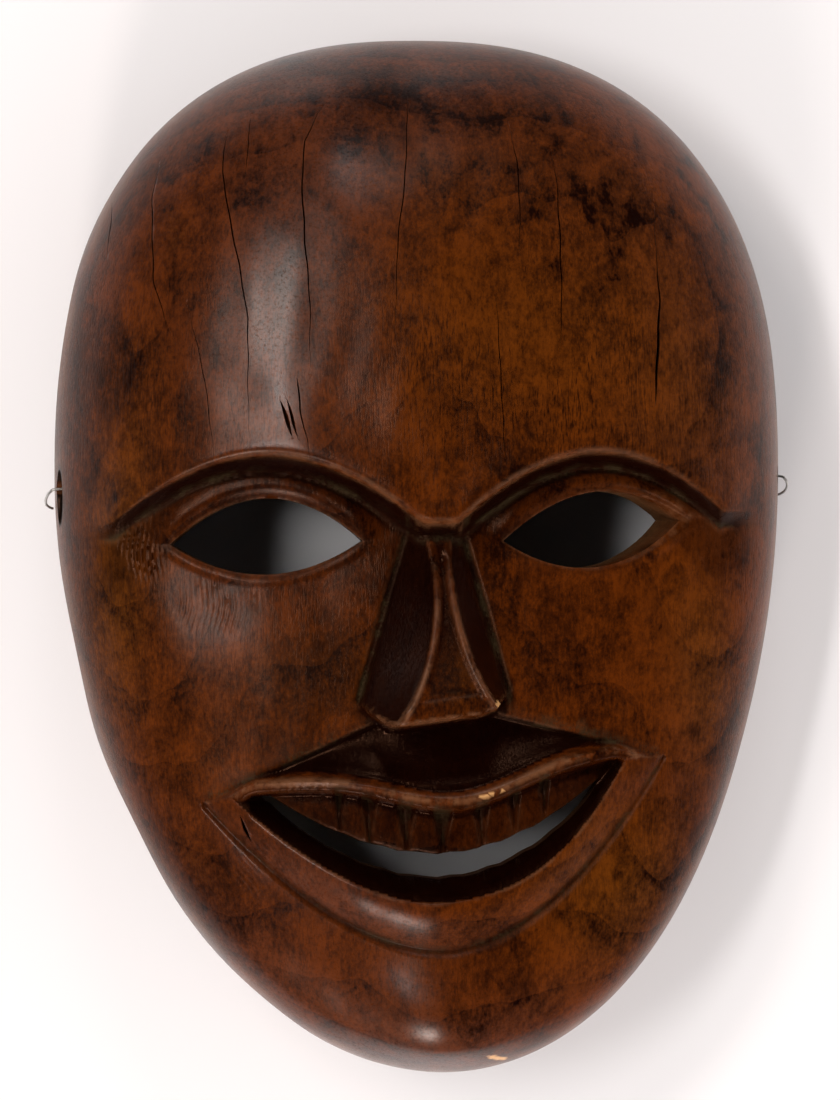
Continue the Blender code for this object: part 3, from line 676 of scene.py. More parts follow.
        upper_run = np.clip((leaf_top - up) / np.maximum(leaf_top - ridge, 0.001), 0.0, 1.0)
        upper = -self.step * smooth_step(0.0, self.undercut, leaf_top - up) * np.minimum(1.0, swell * 3.0)
        upper = upper + (self.rise + self.step) * swell * upper_run ** 1.8
        upper = upper - 0.0005 * bell(up - ridge - 0.0021, 0.0007) * np.minimum(1.0, swell * 3.0)

        lower_run = np.clip((up - lip_foot) / np.maximum(grin - lip_foot, 0.001), 0.0, 1.0)
        lower = (self.lower_rise * swell + self.crease_depth) * np.sin(0.5 * math.pi * lower_run)
        lower = lower - self.crease_depth

        teeth_run = np.clip((rim_foot - up) / 0.0135, 0.0, 1.0)
        teeth = self.rise * swell - self.teeth_recess - 0.0020 * teeth_run ** 2
        teeth = teeth - self.notch_cut(along, up)
        wall_run = np.clip((up - grin) / 0.007425, 0.0, 1.0)
        wall = self.lower_rise * swell - (self.lower_rise * swell + self.pocket_depth) * wall_run
        below_teeth = smooth_step(0.0, self.undercut, self.teeth_line(along) - up)
        pocket = teeth + (wall - teeth) * below_teeth
        ends = smooth_step(1.0, 0.80, np.abs(along) / self.grin_half_length)
        cliff = smooth_step(0.0, self.undercut, rim_foot - up)
        lip_height = self.rise * swell
        inner = lip_height + (pocket - lip_height) * cliff * np.clip(ends * 4.0, 0.0, 1.0)

        change = -self.crease_depth * smooth_step(self.crease_width, 0.0, lip_foot - up) * (up < lip_foot)
        change = np.where((up <= leaf_top) & (up >= ridge), upper, change)
        change = np.where((up < ridge) & (up > grin), inner, change)
        change = np.where((up <= grin) & (up >= lip_foot), lower, change)
        return ground + np.where(tip < 1.0, change, 0.0)

    def slot_outline(self, steps: int = 40) -> list[Point]:
        """Points round the crescent that is cut right through below the teeth."""
        run = np.linspace(-1.0, 1.0, steps + 1)
        along = self.grin_x + self.slot_half_length * np.sin(0.5 * math.pi * run)
        upper = self.teeth_line(along)
        lower = upper - self.slot_height * (1.0 - run ** 2)
        points = list(zip(along, upper)) + list(zip(along, lower))[-2:0:-1]
        cos, sin = math.cos(self.turn), math.sin(self.turn)
        return [(self.x + a * cos - u * sin, self.y + a * sin + u * cos) for a, u in points]


@dataclass(frozen=True)
class Crack:
    """A drying crack along the grain.

    Attributes:
        route: Corners of its line across and up the mask.
        width: Its width at the surface, in the middle of its length.
        depth: How deep it runs there.
        swell: Share of its length at which it is widest.
    """

    route: tuple[Point, ...]
    width: float = 0.00045
    depth: float = 0.0022
    swell: float = 0.5


@dataclass(frozen=True)
class Patch:
    """A soft-edged patch of other colour on the wood.

    Attributes:
        middle: Its middle.
        half_size: Half of its width and half of its height.
        strength: Its share of colour in the middle.
        turn: How far it is turned, in radians.
    """

    middle: Point
    half_size: Point
    strength: float = 1.0
    turn: float = 0.0

    def share(self, x: Numbers, y: Numbers) -> Numbers:
        """Share of its colour at places on the mask."""
        cos, sin = math.cos(self.turn), math.sin(self.turn)
        off_x, off_y = x - self.middle[0], y - self.middle[1]
        across, along = off_x * cos + off_y * sin, -off_x * sin + off_y * cos
        away = (across / self.half_size[0]) ** 2 + (along / self.half_size[1]) ** 2
        return self.strength * np.exp(-away)


def patches(x: Numbers, y: Numbers, group: tuple[Patch, ...]) -> Numbers:
    """Strongest share of several patches at places on the mask."""
    return strongest(*(patch.share(x, y) for patch in group))


@dataclass(frozen=True)
class ToolMarks:
    """A patch of short parallel cuts that a chisel left.

    Attributes:
        middle: Middle of the patch.
        half_size: Half of its width and half of its height.
        pitch: Distance from cut to cut.
        depth: Depth of the cuts.
        heading: Angle of the direction across the cuts, in radians.
    """

    middle: Point
    half_size: Point
    pitch: float
    depth: float
    heading: float

    def mask(self, x: Numbers, y: Numbers) -> Numbers:
        """Share by which places lie in the patch, with soft borders."""
        away = np.hypot((x - self.middle[0]) / self.half_size[0], (y - self.middle[1]) / self.half_size[1])
        return smooth_step(1.15, 0.60, away)

    def cut(self, x: Numbers, y: Numbers) -> Numbers:
        """Depth of the cuts at places on the mask."""
        across = x * math.cos(self.heading) + y * math.sin(self.heading)
        along = -x * math.sin(self.heading) + y * math.cos(self.heading)
        wander = 0.35 * self.pitch * np.sin(along * 420.0) + 0.25 * self.pitch * np.sin(along * 160.0 + 2.0)
        phase = 2.0 * math.pi * (across + wander) / self.pitch
        uneven = 0.6 + 0.4 * np.sin(across * 510.0 + along * 240.0)
        return self.depth * (0.5 + 0.5 * np.sin(phase + 0.9 * np.sin(phase))) * uneven * self.mask(x, y)


@dataclass(frozen=True)
class Face:
    """The whole carved front, as a height over the plane of the back rim."""

    blank: Blank = Blank()
    brows: Brows = Brows()
    eyes: tuple[Eye, Eye] = (
        Eye(-0.04098, 0.00284, 0.02468, 0.01134, 0.0081, 0.020, 0.97),
        Eye(0.04374, 0.00594, 0.02421, 0.00999, 0.00932, 0.110, 0.82),
    )
    nose: Nose = Nose()
    mouth: Mouth = Mouth()
    tool_marks: tuple[ToolMarks, ...] = (
        ToolMarks((-0.0730, 0.0005), (0.0090, 0.0080), 0.0013, 0.00050, 0.05),
        ToolMarks((-0.0530, -0.0125), (0.0120, 0.0090), 0.0014, 0.00022, -0.10),
        ToolMarks((0.0765, 0.0010), (0.0100, 0.0110), 0.0058, 0.00014, 1.20),
        ToolMarks((0.0520, -0.0080), (0.0160, 0.0060), 0.0026, 0.00008, 1.15),
        ToolMarks((-0.0370, -0.0800), (0.0140, 0.0080), 0.0013, 0.00016, 0.55),
    )
    dressing: tuple[tuple[Ripple, float], ...] = (
        (Ripple(0.030, 1.6, 3), 0.00022),
        (Ripple(0.011, 2.0, 8), 0.00007),
    )

    def plain(self, x: Numbers, y: Numbers) -> Numbers:
        """Height of the carved front before wear and tool marks."""
        cheeks = self.brows.form(x, y)
        for eye in self.eyes:
            cheeks = cheeks + eye.carving(x, y)
        return self.nose.form(x, y, self.mouth.form(x, y, cheeks), cheeks)

    def eased(self, x: Numbers, y: Numbers, wear: float = 0.0003) -> Numbers:
        """Height of the front with its arrises rubbed down a little."""
        centre = self.plain(x, y)
        around = sum(self.plain(x + wear * across, y + wear * along)
                     for across, along in ((1, 0), (-1, 0), (0, 1), (0, -1)))
        worn = smooth_step(0.98, 0.94, self.blank.share(x, y))
        return centre + (around - 4.0 * centre) / 5.0 * worn

    def height(self, x: Numbers, y: Numbers) -> Numbers:
        """Height of the finished front."""
        height = self.eased(x, y)
        inland = smooth_step(0.99, 0.90, self.blank.share(x, y))
        for ripple, depth in self.dressing:
            height = height + depth * (ripple.height(x, y) - 1.2) * inland
        for marks in self.tool_marks:
            height = height - marks.cut(x, y)
        return height

    def bend(self, x: Numbers, y: Numbers, reach: float) -> Numbers:
        """How far the surface round a place stands over it: more in hollows, less on ridges."""
        corners = [(math.cos(step * math.pi / 4), math.sin(step * math.pi / 4)) for step in range(8)]
        around = sum(self.plain(x + reach * across, y + reach * along) for across, along in corners)
        return around / len(corners) - self.plain(x, y)


@dataclass(frozen=True)
class WoodFinish:
    """Stained hardwood under a satin varnish, as linear colours and plain shares.

    Attributes:
        light: Colour of the wood where the stain is thin.
        dark: Colour where the stain is full.
        stain_and_painted_shade: Near-black colour of dark stain and open pores, also laid as painted shade
            in the hollows and cuts.
        thin: Colour where hands have rubbed the stain away.
        worn: Colour of rubbed edges, also laid as a painted highlight along the nose strip's edges.
        chip: Colour of small fresh chips.
        dust: Colour of the dust in the creases.
        bare: Colour of the unvarnished back.
        crack: Colour inside the cracks.
        roughness: Roughness of the wood.
        gloss: Specular level of the wood under its varnish.
        gloss_tint: Warm tint of that gloss, seen face on.
        coat: Share of varnish.
        coat_roughness: Roughness of the varnish.
        clouds: Share of the stain's clouds in its depth.
        rings: Share of the growth rings in it.
        fibres: Share of the fibres in it.
        bare_streaks: Share of dark streaks in the bare wood.
        haze: How much roughness varies from place to place.
        dust_roughness: Roughness that dust adds.
        bare_roughness: Roughness that bare wood adds.
        recess_polish: Roughness that the deep cuts lose.
        polish: Share of varnish that the polished patches add.
        bump: Strength of the fine relief.
        bump_height: Height of the fine relief.
    """

    light: Colour = (0.098, 0.0185, 0.0012)
    dark: Colour = (0.0050, 0.0007, 0.0002)
    thin: Colour = (0.112, 0.0290, 0.0020)
    # Near black: dark stain and open pores, and painted shade in the hollows and cuts.
    stain_and_painted_shade: Colour = (0.0026, 0.0003, 0.0002)
    # Also laid as a painted highlight along the nose strip's edges.
    worn: Colour = (0.140, 0.056, 0.024)
    chip: Colour = (0.52, 0.27, 0.105)
    dust: Colour = (0.030, 0.021, 0.009)
    bare: Colour = (0.115, 0.055, 0.023)
    crack: Colour = (0.0025, 0.0014, 0.0011)
    roughness: float = 0.32
    gloss: float = 0.16
    gloss_tint: Colour = (1.0, 0.48, 0.28)
    coat: float = 0.03
    coat_roughness: float = 0.29
    clouds: float = 0.78
    rings: float = 0.24
    fibres: float = 0.13
    bare_streaks: float = 0.45
    haze: float = 0.12
    dust_roughness: float = 0.60
    bare_roughness: float = 0.40
    recess_polish: float = 0.10
    polish: float = 0.95
    bump: float = 0.13
    bump_height: float = 0.00060


@dataclass(frozen=True)
class SteelFinish:
    """Thin drawn steel wire with a dull shine."""

    colour: Colour = (0.50, 0.49, 0.47)
    tarnish: Colour = (0.22, 0.19, 0.16)
    roughness: float = 0.28


class Mark(Enum):
    """Attributes of the wood's mesh that its material reads."""

    # Dark stain, and painted shade in hollows, under the brows, in the mouth's pocket and on the walls of
    # the cuts.
    STAIN_AND_PAINTED_SHADE = "stain_and_painted_shade"
    DUST = "dust"
    # Rubbed edges, and a painted highlight along the nose strip's edges.
    WEAR_AND_HIGHLIGHT = "wear"
    BARE = "bare"
    CRACK = "crack"
    DAPPLE = "dapple"
    THIN = "thin"
    # Stain patches, and painted shade over the eye sockets, beside the nose and down the left side.
    SPOT = "stain_patch_and_painted_shade"
    OPEN = "open_grain"
    POLISH = "polish"
    CHIP = "chip"


class Graph:
    """A node tree under construction."""

    def __init__(self, tree: bpy.types.NodeTree) -> None:
        """Start work on a tree."""
        self.tree = tree

    def node(self, kind: str, **settings: object) -> bpy.types.Node:
        """Add a node.

        Args:
            kind: Blender's name for the node's type.
            settings: Properties to set on it.

        Returns:
            The new node.
        """
        made = self.tree.nodes.new(kind)
        for name, value in settings.items():
            setattr(made, name, value)
        return made

    def feed(self, socket: Socket, value: object) -> None:
        """Link a socket to another socket, or set its value."""
        if isinstance(value, Socket):
            self.tree.links.new(value, socket)
        elif isinstance(value, tuple) and len(value) == 3 and socket.type == "RGBA":
            socket.default_value = (*value, 1.0)
        else:
            socket.default_value = value

    def math(self, operation: str, first: object, second: object = 0.5,
             clamp: bool = False) -> Socket:
        """Add a Math node and return its result."""
        made = self.node("ShaderNodeMath", operation=operation, use_clamp=clamp)
        self.feed(made.inputs[0], first)
        self.feed(made.inputs[1], second)
        return made.outputs[0]

    def add(self, first: object, second: object, clamp: bool = False) -> Socket:
        """Add two values."""
        return self.math("ADD", first, second, clamp)

    def less(self, first: object, second: object) -> Socket:
        """Take the second value from the first."""
        return self.math("SUBTRACT", first, second)

    def times(self, first: object, second: object, clamp: bool = False) -> Socket:
        """Multiply two values."""
        return self.math("MULTIPLY", first, second, clamp)

    def mix(self, share: object, first: object, second: object, blend: str = "MIX") -> Socket:
        """Mix two colours and return the result."""
        made = self.node("ShaderNodeMix", data_type="RGBA", blend_type=blend)
        self.feed(made.inputs["Factor"], share)
        self.feed(made.inputs[6], first)
        self.feed(made.inputs[7], second)
        return made.outputs[2]

    def noise(self, place: Socket, scale: float, detail: float = 3.0,
              roughness: float = 0.55, distortion: float = 0.0) -> Socket:
        """Add a noise texture and return its value."""
        made = self.node("ShaderNodeTexNoise")
        self.feed(made.inputs["Vector"], place)
        self.feed(made.inputs["Scale"], scale)
        self.feed(made.inputs["Detail"], detail)
        self.feed(made.inputs["Roughness"], roughness)
        self.feed(made.inputs["Distortion"], distortion)
        return made.outputs["Fac"]

    def stretched(self, place: Socket, scale: Place,
                  turn: Place = (0.0, 0.0, 0.0),
                  shift: Place = (0.0, 0.0, 0.0)) -> Socket:
        """Shift, turn and scale a place, and return it."""
        made = self.node("ShaderNodeMapping")
        self.feed(made.inputs["Vector"], place)
        self.feed(made.inputs["Location"], shift)
        self.feed(made.inputs["Rotation"], turn)
        self.feed(made.inputs["Scale"], scale)
        return made.outputs["Vector"]

    def ramp(self, value: object, low: float, high: float) -> Socket:
        """Stretch values so that low becomes 0 and high becomes 1, eased between."""
        made = self.node("ShaderNodeMapRange", interpolation_type="SMOOTHSTEP")
        self.feed(made.inputs["Value"], value)
        self.feed(made.inputs["From Min"], low)
        self.feed(made.inputs["From Max"], high)
        return made.outputs["Result"]

    def attribute(self, mark: Mark) -> Socket:
        """Read one of the mesh's own marks."""
        return self.node("ShaderNodeAttribute", attribute_name=mark.value).outputs["Fac"]


@dataclass(frozen=True)
class GroupSocket:
    """A named input or output of a node group, with its type and first value."""

    name: str
    kind: str = "NodeSocketFloat"
    value: object = 0.0


class NodeGroup:
    """A node group that is built once and placed in each material that needs it."""

    name = "group"
    inputs: tuple[GroupSocket, ...] = ()
    outputs: tuple[GroupSocket, ...] = ()

    @classmethod
    def tree(cls) -> bpy.types.NodeTree:
        """Return the group's tree, built on first use."""
        found = bpy.data.node_groups.get(cls.name)
        if found:
            return found
        tree = bpy.data.node_groups.new(cls.name, "ShaderNodeTree")
        for direction, sockets in (("INPUT", cls.inputs), ("OUTPUT", cls.outputs)):
            for socket in sockets:
                made = tree.interface.new_socket(socket.name, in_out=direction, socket_type=socket.kind)
                if direction == "INPUT" and socket.kind != "NodeSocketVector":
                    made.default_value = socket.value
        graph = Graph(tree)
        entry, leave = graph.node("NodeGroupInput"), graph.node("NodeGroupOutput")
        cls.build(graph, entry.outputs, leave.inputs)
        return tree

    @classmethod
    def build(cls, graph: Graph, entry: Sockets,
              leave: Sockets) -> None:
        """Lay out the group's nodes."""
        raise NotImplementedError

    @classmethod
    def use(cls, graph: Graph, **values: object) -> Sockets:
        """Place the group in a graph.

        Args:
            graph: The graph of the material.
            values: Value or socket for each input, by its name in lower case.

        Returns:
            The placed group's outputs.
        """
        made = graph.node("ShaderNodeGroup", node_tree=cls.tree())
        for name, value in values.items():
            graph.feed(made.inputs[name.replace("_", " ").capitalize()], value)
        return made.outputs


class GrainGroup(NodeGroup):
    """Growth rings, pore lines and fine fibres that run up the mask."""

    name = "wood_grain"
    inputs = (
        GroupSocket("Place", "NodeSocketVector"),
        GroupSocket("Ring spacing", value=0.0062),
        GroupSocket("Ring wander", value=0.010),
    )
    outputs = (GroupSocket("Rings"), GroupSocket("Pores"), GroupSocket("Fibres"))

    @classmethod
    def build(cls, graph: Graph, entry: Sockets,
              leave: Sockets) -> None:
        """Lay out rings about a heart that runs behind the mask, and dashes along the grain."""
        place = entry["Place"]
        heart = graph.stretched(place, (1.0, 1.0, 1.0), (math.radians(9.0), 0.0, math.radians(2.0)),
                                (-0.004, 0.0, 0.055))
        apart = graph.node("ShaderNodeSeparateXYZ")
        graph.feed(apart.inputs[0], heart)
        radius = graph.math("SQRT", graph.add(graph.times(apart.outputs[0], apart.outputs[0]),
                                              graph.times(apart.outputs[2], apart.outputs[2])))
        sway = graph.noise(graph.stretched(place, (1.0, 0.35, 1.0)), 28.0, 3.0, 0.5)
        swayed = graph.add(radius, graph.times(sway, entry["Ring wander"]))
        turns = graph.math("DIVIDE", swayed, entry["Ring spacing"])
        saw = graph.math("FRACT", turns)
        late = graph.math("POWER", saw, 3.0)
        graph.feed(leave["Rings"], late)
        dashes = graph.noise(graph.stretched(place, (1.0, 0.10, 1.0)), 2600.0, 2.0, 0.6)
        broken = graph.noise(graph.stretched(place, (1.0, 0.5, 1.0)), 60.0, 2.0, 0.5)
        gate = graph.add(dashes, graph.times(broken, 0.45))
        graph.feed(leave["Pores"], graph.ramp(gate, 0.74, 0.92))
        fibres = graph.noise(graph.stretched(place, (1.0, 0.05, 1.0)), 900.0, 4.0, 0.6)
        graph.feed(leave["Fibres"], fibres)


class BlotchGroup(NodeGroup):
    """Clouds and spots of stain that soaked in unevenly."""

    name = "stain_blotches"
    inputs = (GroupSocket("Place", "NodeSocketVector"), GroupSocket("Spots", value=0.5))
    outputs = (GroupSocket("Clouds"), GroupSocket("Spots"))

    @classmethod
    def build(cls, graph: Graph, entry: Sockets,
              leave: Sockets) -> None:
        """Lay out broad clouds, and round spots that keep to chosen places."""
        place = entry["Place"]
        broad = graph.noise(graph.stretched(place, (1.0, 0.7, 1.0)), 24.0, 3.0, 0.55, 0.6)
        small = graph.noise(graph.stretched(place, (1.0, 0.75, 1.0)), 150.0, 7.0, 0.74, 0.4)
        clouds = graph.add(graph.times(broad, 0.40), graph.times(small, 0.60))
        specks = graph.noise(graph.stretched(place, (1.0, 0.5, 1.0)), 900.0, 5.0, 0.8)
        clouds = graph.add(clouds, graph.times(graph.less(specks, 0.5), 0.60))
        graph.feed(leave["Clouds"], graph.ramp(clouds, 0.33, 0.68))
        shifted = graph.stretched(place, (1.0, 0.8, 1.0), shift=(0.3, 0.1, 0.2))
        dapple = graph.ramp(graph.noise(shifted, 125.0, 3.0, 0.55), 0.48, 0.80)
        graph.feed(leave["Spots"], graph.times(dapple, entry["Spots"]))


class WearAndHighlightGroup(NodeGroup):
    """Rubbed edges with the painted highlight along the nose strip's edges, and settled dust, broken up so
    that neither is even.
    """

    name = "wear_highlight_and_dust"
    inputs = (
        GroupSocket("Place", "NodeSocketVector"),
        GroupSocket("Edges"),
        GroupSocket("Creases"),
    )
    outputs = (GroupSocket("Worn and highlit"), GroupSocket("Dusty"))

    @classmethod
    def build(cls, graph: Graph, entry: Sockets,
              leave: Sockets) -> None:
        """Break up the marks of the mesh with noise."""
        chips = graph.noise(entry["Place"], 420.0, 4.0, 0.65)
        broad = graph.noise(entry["Place"], 90.0, 2.0, 0.5)
        rubbed = graph.ramp(graph.add(chips, broad), 0.80, 1.18)
        graph.feed(leave["Worn and highlit"], graph.times(entry["Edges"], rubbed))
        crumbs = graph.noise(entry["Place"], 1500.0, 3.0, 0.8)
        drifts = graph.noise(entry["Place"], 160.0, 2.0, 0.5)
        settled = graph.ramp(graph.add(crumbs, drifts), 0.92, 1.20)
        graph.feed(leave["Dusty"], graph.times(entry["Creases"], settled))


def new_material(name: str) -> tuple[bpy.types.Material, Graph, bpy.types.Node, Socket]:
    """Start a material.

    Args:
        name: Name of the material.

    Returns:
        The material, its graph, its Principled shader and its Object coordinates.
    """
    material = bpy.data.materials.new(name)
    material.use_nodes = True
    graph = Graph(material.node_tree)
    shader = material.node_tree.nodes["Principled BSDF"]
    place = graph.node("ShaderNodeTexCoord").outputs["Object"]
    return material, graph, shader, place


def wood_material(finish: WoodFinish) -> bpy.types.Material:
    """Make the stained, varnished wood.

    Args:
        finish: Its colours and shine.

    Returns:
        The material.
    """
    material, graph, shader, place = new_material("stained_hardwood")
    marked = {mark: graph.attribute(mark) for mark in Mark}
    stain_and_painted_shade, bare, dust = marked[Mark.STAIN_AND_PAINTED_SHADE], marked[Mark.BARE], marked[Mark.DUST]
    grain = GrainGroup.use(graph, place=place)
    stain = BlotchGroup.use(graph, place=place, spots=marked[Mark.DAPPLE])
    wear = WearAndHighlightGroup.use(graph, place=place, edges=marked[Mark.WEAR_AND_HIGHLIGHT], creases=dust)

    depth = graph.add(graph.times(stain["Clouds"], finish.clouds), graph.times(grain["Rings"], finish.rings))
    depth = graph.add(depth, graph.times(graph.ramp(grain["Fibres"], 0.35, 0.70), finish.fibres))
    depth = graph.add(depth, stain["Spots"], clamp=True)
    # Stain patches and painted shade, broken up by the stain's clouds.
    patched_stain_and_shade = graph.times(marked[Mark.SPOT], graph.ramp(stain["Clouds"], -0.4, 0.8))
    streaks = graph.times(graph.ramp(grain["Fibres"], 0.30, 0.72), finish.bare_streaks)
    colour = graph.mix(marked[Mark.THIN], finish.light, finish.thin)
    for share, laid in (
        (depth, finish.dark),
        (graph.times(grain["Pores"], marked[Mark.OPEN]), finish.stain_and_painted_shade),
        # Dark stain and painted shade share this near-black colour.
        (graph.math("MAXIMUM", stain_and_painted_shade, patched_stain_and_shade), finish.stain_and_painted_shade),
        # Rubbed edges, and the painted highlight along the nose strip's edges.
        (wear["Worn and highlit"], finish.worn),
        (wear["Dusty"], finish.dust),
        (marked[Mark.CHIP], finish.chip),
        (bare, graph.mix(streaks, finish.bare, finish.dark)),
        (marked[Mark.CRACK], finish.crack),
    ):
        colour = graph.mix(share, colour, laid)
    graph.feed(shader.inputs["Base Color"], colour)

    haze = graph.times(graph.noise(place, 320.0, 4.0, 0.65), finish.haze)
    rough = graph.add(finish.roughness - finish.haze / 2.0, haze)
    rough = graph.add(rough, graph.times(dust, finish.dust_roughness))
    rough = graph.add(rough, graph.less(graph.times(bare, finish.bare_roughness),
                                        graph.times(stain_and_painted_shade, finish.recess_polish)), clamp=True)
    graph.feed(shader.inputs["Roughness"], rough)
    shader.inputs["Specular IOR Level"].default_value = finish.gloss
    shader.inputs["Specular Tint"].default_value = (*finish.gloss_tint, 1.0)
    sheltered = graph.math("MAXIMUM", graph.math("MAXIMUM", stain_and_painted_shade, bare), dust, clamp=True)
    speckle = graph.times(graph.ramp(graph.noise(place, 1300.0, 4.0, 0.75), 0.20, 0.56), finish.polish)
    varnish = graph.add(graph.times(marked[Mark.POLISH], speckle), finish.coat)
    graph.feed(shader.inputs["Coat Weight"], graph.times(graph.less(1.0, sheltered), varnish, clamp=True))
    shader.inputs["Coat Roughness"].default_value = finish.coat_roughness

    relief = graph.less(graph.times(grain["Fibres"], 0.5), graph.times(grain["Pores"], 0.9))
    relief = graph.add(relief, graph.times(graph.noise(place, 700.0, 4.0, 0.7), 0.9))
    bump = graph.node("ShaderNodeBump")
    bump.inputs["Strength"].default_value = finish.bump
    bump.inputs["Distance"].default_value = finish.bump_height
    graph.feed(bump.inputs["Height"], relief)
    graph.feed(shader.inputs["Normal"], bump.outputs["Normal"])
    return material


def steel_material(finish: SteelFinish) -> bpy.types.Material:
    """Make the wire's steel.

    Args:
        finish: Its colours and shine.

    Returns:
        The material.
    """
    material, graph, shader, place = new_material("drawn_steel")
    stains = graph.ramp(graph.noise(place, 240.0, 4.0, 0.6), 0.48, 0.72)
    graph.feed(shader.inputs["Base Color"], graph.mix(stains, finish.colour, finish.tarnish))
    graph.feed(shader.inputs["Roughness"], graph.add(finish.roughness, graph.times(stains, 0.25)))
    shader.inputs["Metallic"].default_value = 1.0
    return material


def link(name: str, data: bpy.types.ID) -> bpy.types.Object:
    """Put a named object in the scene."""
    made = bpy.data.objects.new(name, data)
    bpy.context.scene.collection.objects.link(made)
    return made


def to_mesh(name: str, shaper: bmesh.types.BMesh) -> bpy.types.Mesh:
    """Turn a shape's faces outwards and keep it as a mesh."""
    bmesh.ops.recalc_face_normals(shaper, faces=shaper.faces)
    mesh = bpy.data.meshes.new(name)
    shaper.to_mesh(mesh)
    shaper.free()
    return mesh


def places(mesh: bpy.types.Mesh) -> Numbers:
    """Read a mesh's vertices as rows of x, y and z."""
    flat = np.empty(len(mesh.vertices) * 3, np.float32)
    mesh.vertices.foreach_get("co", flat)
    return flat.reshape(-1, 3).astype(float)


def move(mesh: bpy.types.Mesh, rows: Numbers) -> None:
    """Move a mesh's vertices to rows of x, y and z."""
    mesh.vertices.foreach_set("co", rows.astype(np.float32).ravel())
    mesh.update()


@dataclass
class CarvedBlock:
    """A closed block: a grid spread over the mask's outline and lifted, on sides down to a foot.

    Attributes:
        columns: Cells across.
        rows: Cells up.
        inset: How far the whole block is drawn in from the outline.
        foot: Height of its flat underside.
        rings: Bands of faces down its sides.
    """

    name: str
    columns: int
    rows: int
    inset: float
    foot: float
    rings: int = 6
    blank: Blank = field(default_factory=Blank)

    def build(self, height: Callable[[Numbers, Numbers, Numbers], Numbers],
              uneven: bool) -> bpy.types.Mesh:
        """Make the block.

        Args:
            height: Function of x, y and the share of the way out that gives the top's height.
            uneven: Whether the knife's facets are cut in its outline.

        Returns:
            The closed mesh.
        """
        shaper = bmesh.new()
        bmesh.ops.create_grid(shaper, x_segments=self.columns, y_segments=self.rows, size=1.0)
        count = len(shaper.verts)
        ring_of = [0] * count
        rim = [edge for edge in shaper.edges if edge.is_boundary]
        for ring in range(self.rings):
            made = bmesh.ops.extrude_edge_only(shaper, edges=rim)["geom"]
            ring_of += [ring + 1] * (len(shaper.verts) - len(ring_of))
            rim = [part for part in made if isinstance(part, bmesh.types.BMEdge) and part.is_boundary]
        bmesh.ops.edgeloop_fill(shaper, edges=rim)
        mesh = to_mesh(self.name, shaper)
        grid = places(mesh)
        share, angle = self.spread(grid[:, 0], grid[:, 1])
        edge_x, edge_y = self.blank.outline_point(angle)
        down = np.array(ring_of) / self.rings
        side_z = self.blank.side_height + (self.foot - self.blank.side_height) * down
        inward = self.inset + self.blank.side_inset(side_z)
        if uneven:
            inward = inward + self.blank.knife_facets(angle) * smooth_step(0.80, 1.0, share)
        middle = self.blank.widest_y
        y = middle + (edge_y - middle) * (1.0 - inward / self.blank.half_height) * share
        x = edge_x * (1.0 - inward / self.blank.half_width) * share + self.blank.lean(y)
        z = np.where(down > 0.0, side_z, height(x, y, share))
        move(mesh, np.column_stack((x, y, z)))
        return mesh

    @staticmethod
    def spread(u: Numbers, v: Numbers) -> tuple[Numbers, Numbers]:
        """Spread a square grid over a disc, denser towards its edge."""
        disc_u = u * np.sqrt(1.0 - 0.5 * v ** 2)
        disc_v = v * np.sqrt(1.0 - 0.5 * u ** 2)
        radius = np.clip(np.hypot(disc_u, disc_v), 0.0, 1.0)
        return 0.4 * radius + 0.6 * np.sin(0.5 * math.pi * radius), np.arctan2(disc_v, disc_u)


@dataclass(frozen=True)
class Reading:
    """Where the wood's vertices lie on the carving, for the marks that are worked out from it.

    Attributes:
        x: Place across the mask.
        y: Place up the mask.
        z: Height above the back rim.
        depth: Depth under the carved front.
        front: Share by which a vertex lies on the carved front.
        outer: Share by which it lies on the front or on the outer sides.
        along: Place along the lips.
        up: Height over the mouth's corners, square to the lips.
        in_grin: 1 between the lips and 0 elsewhere.
        notched: Share by which it lies in the cuts between the teeth.
        below: Distance below the brow's edge.
        off_nose: Share by which the nose leaves it free.
    """

    x: Numbers
    y: Numbers
    z: Numbers
    depth: Numbers
    front: Numbers
    outer: Numbers
    along: Numbers
    up: Numbers
    in_grin: Numbers
    notched: Numbers
    below: Numbers
    off_nose: Numbers


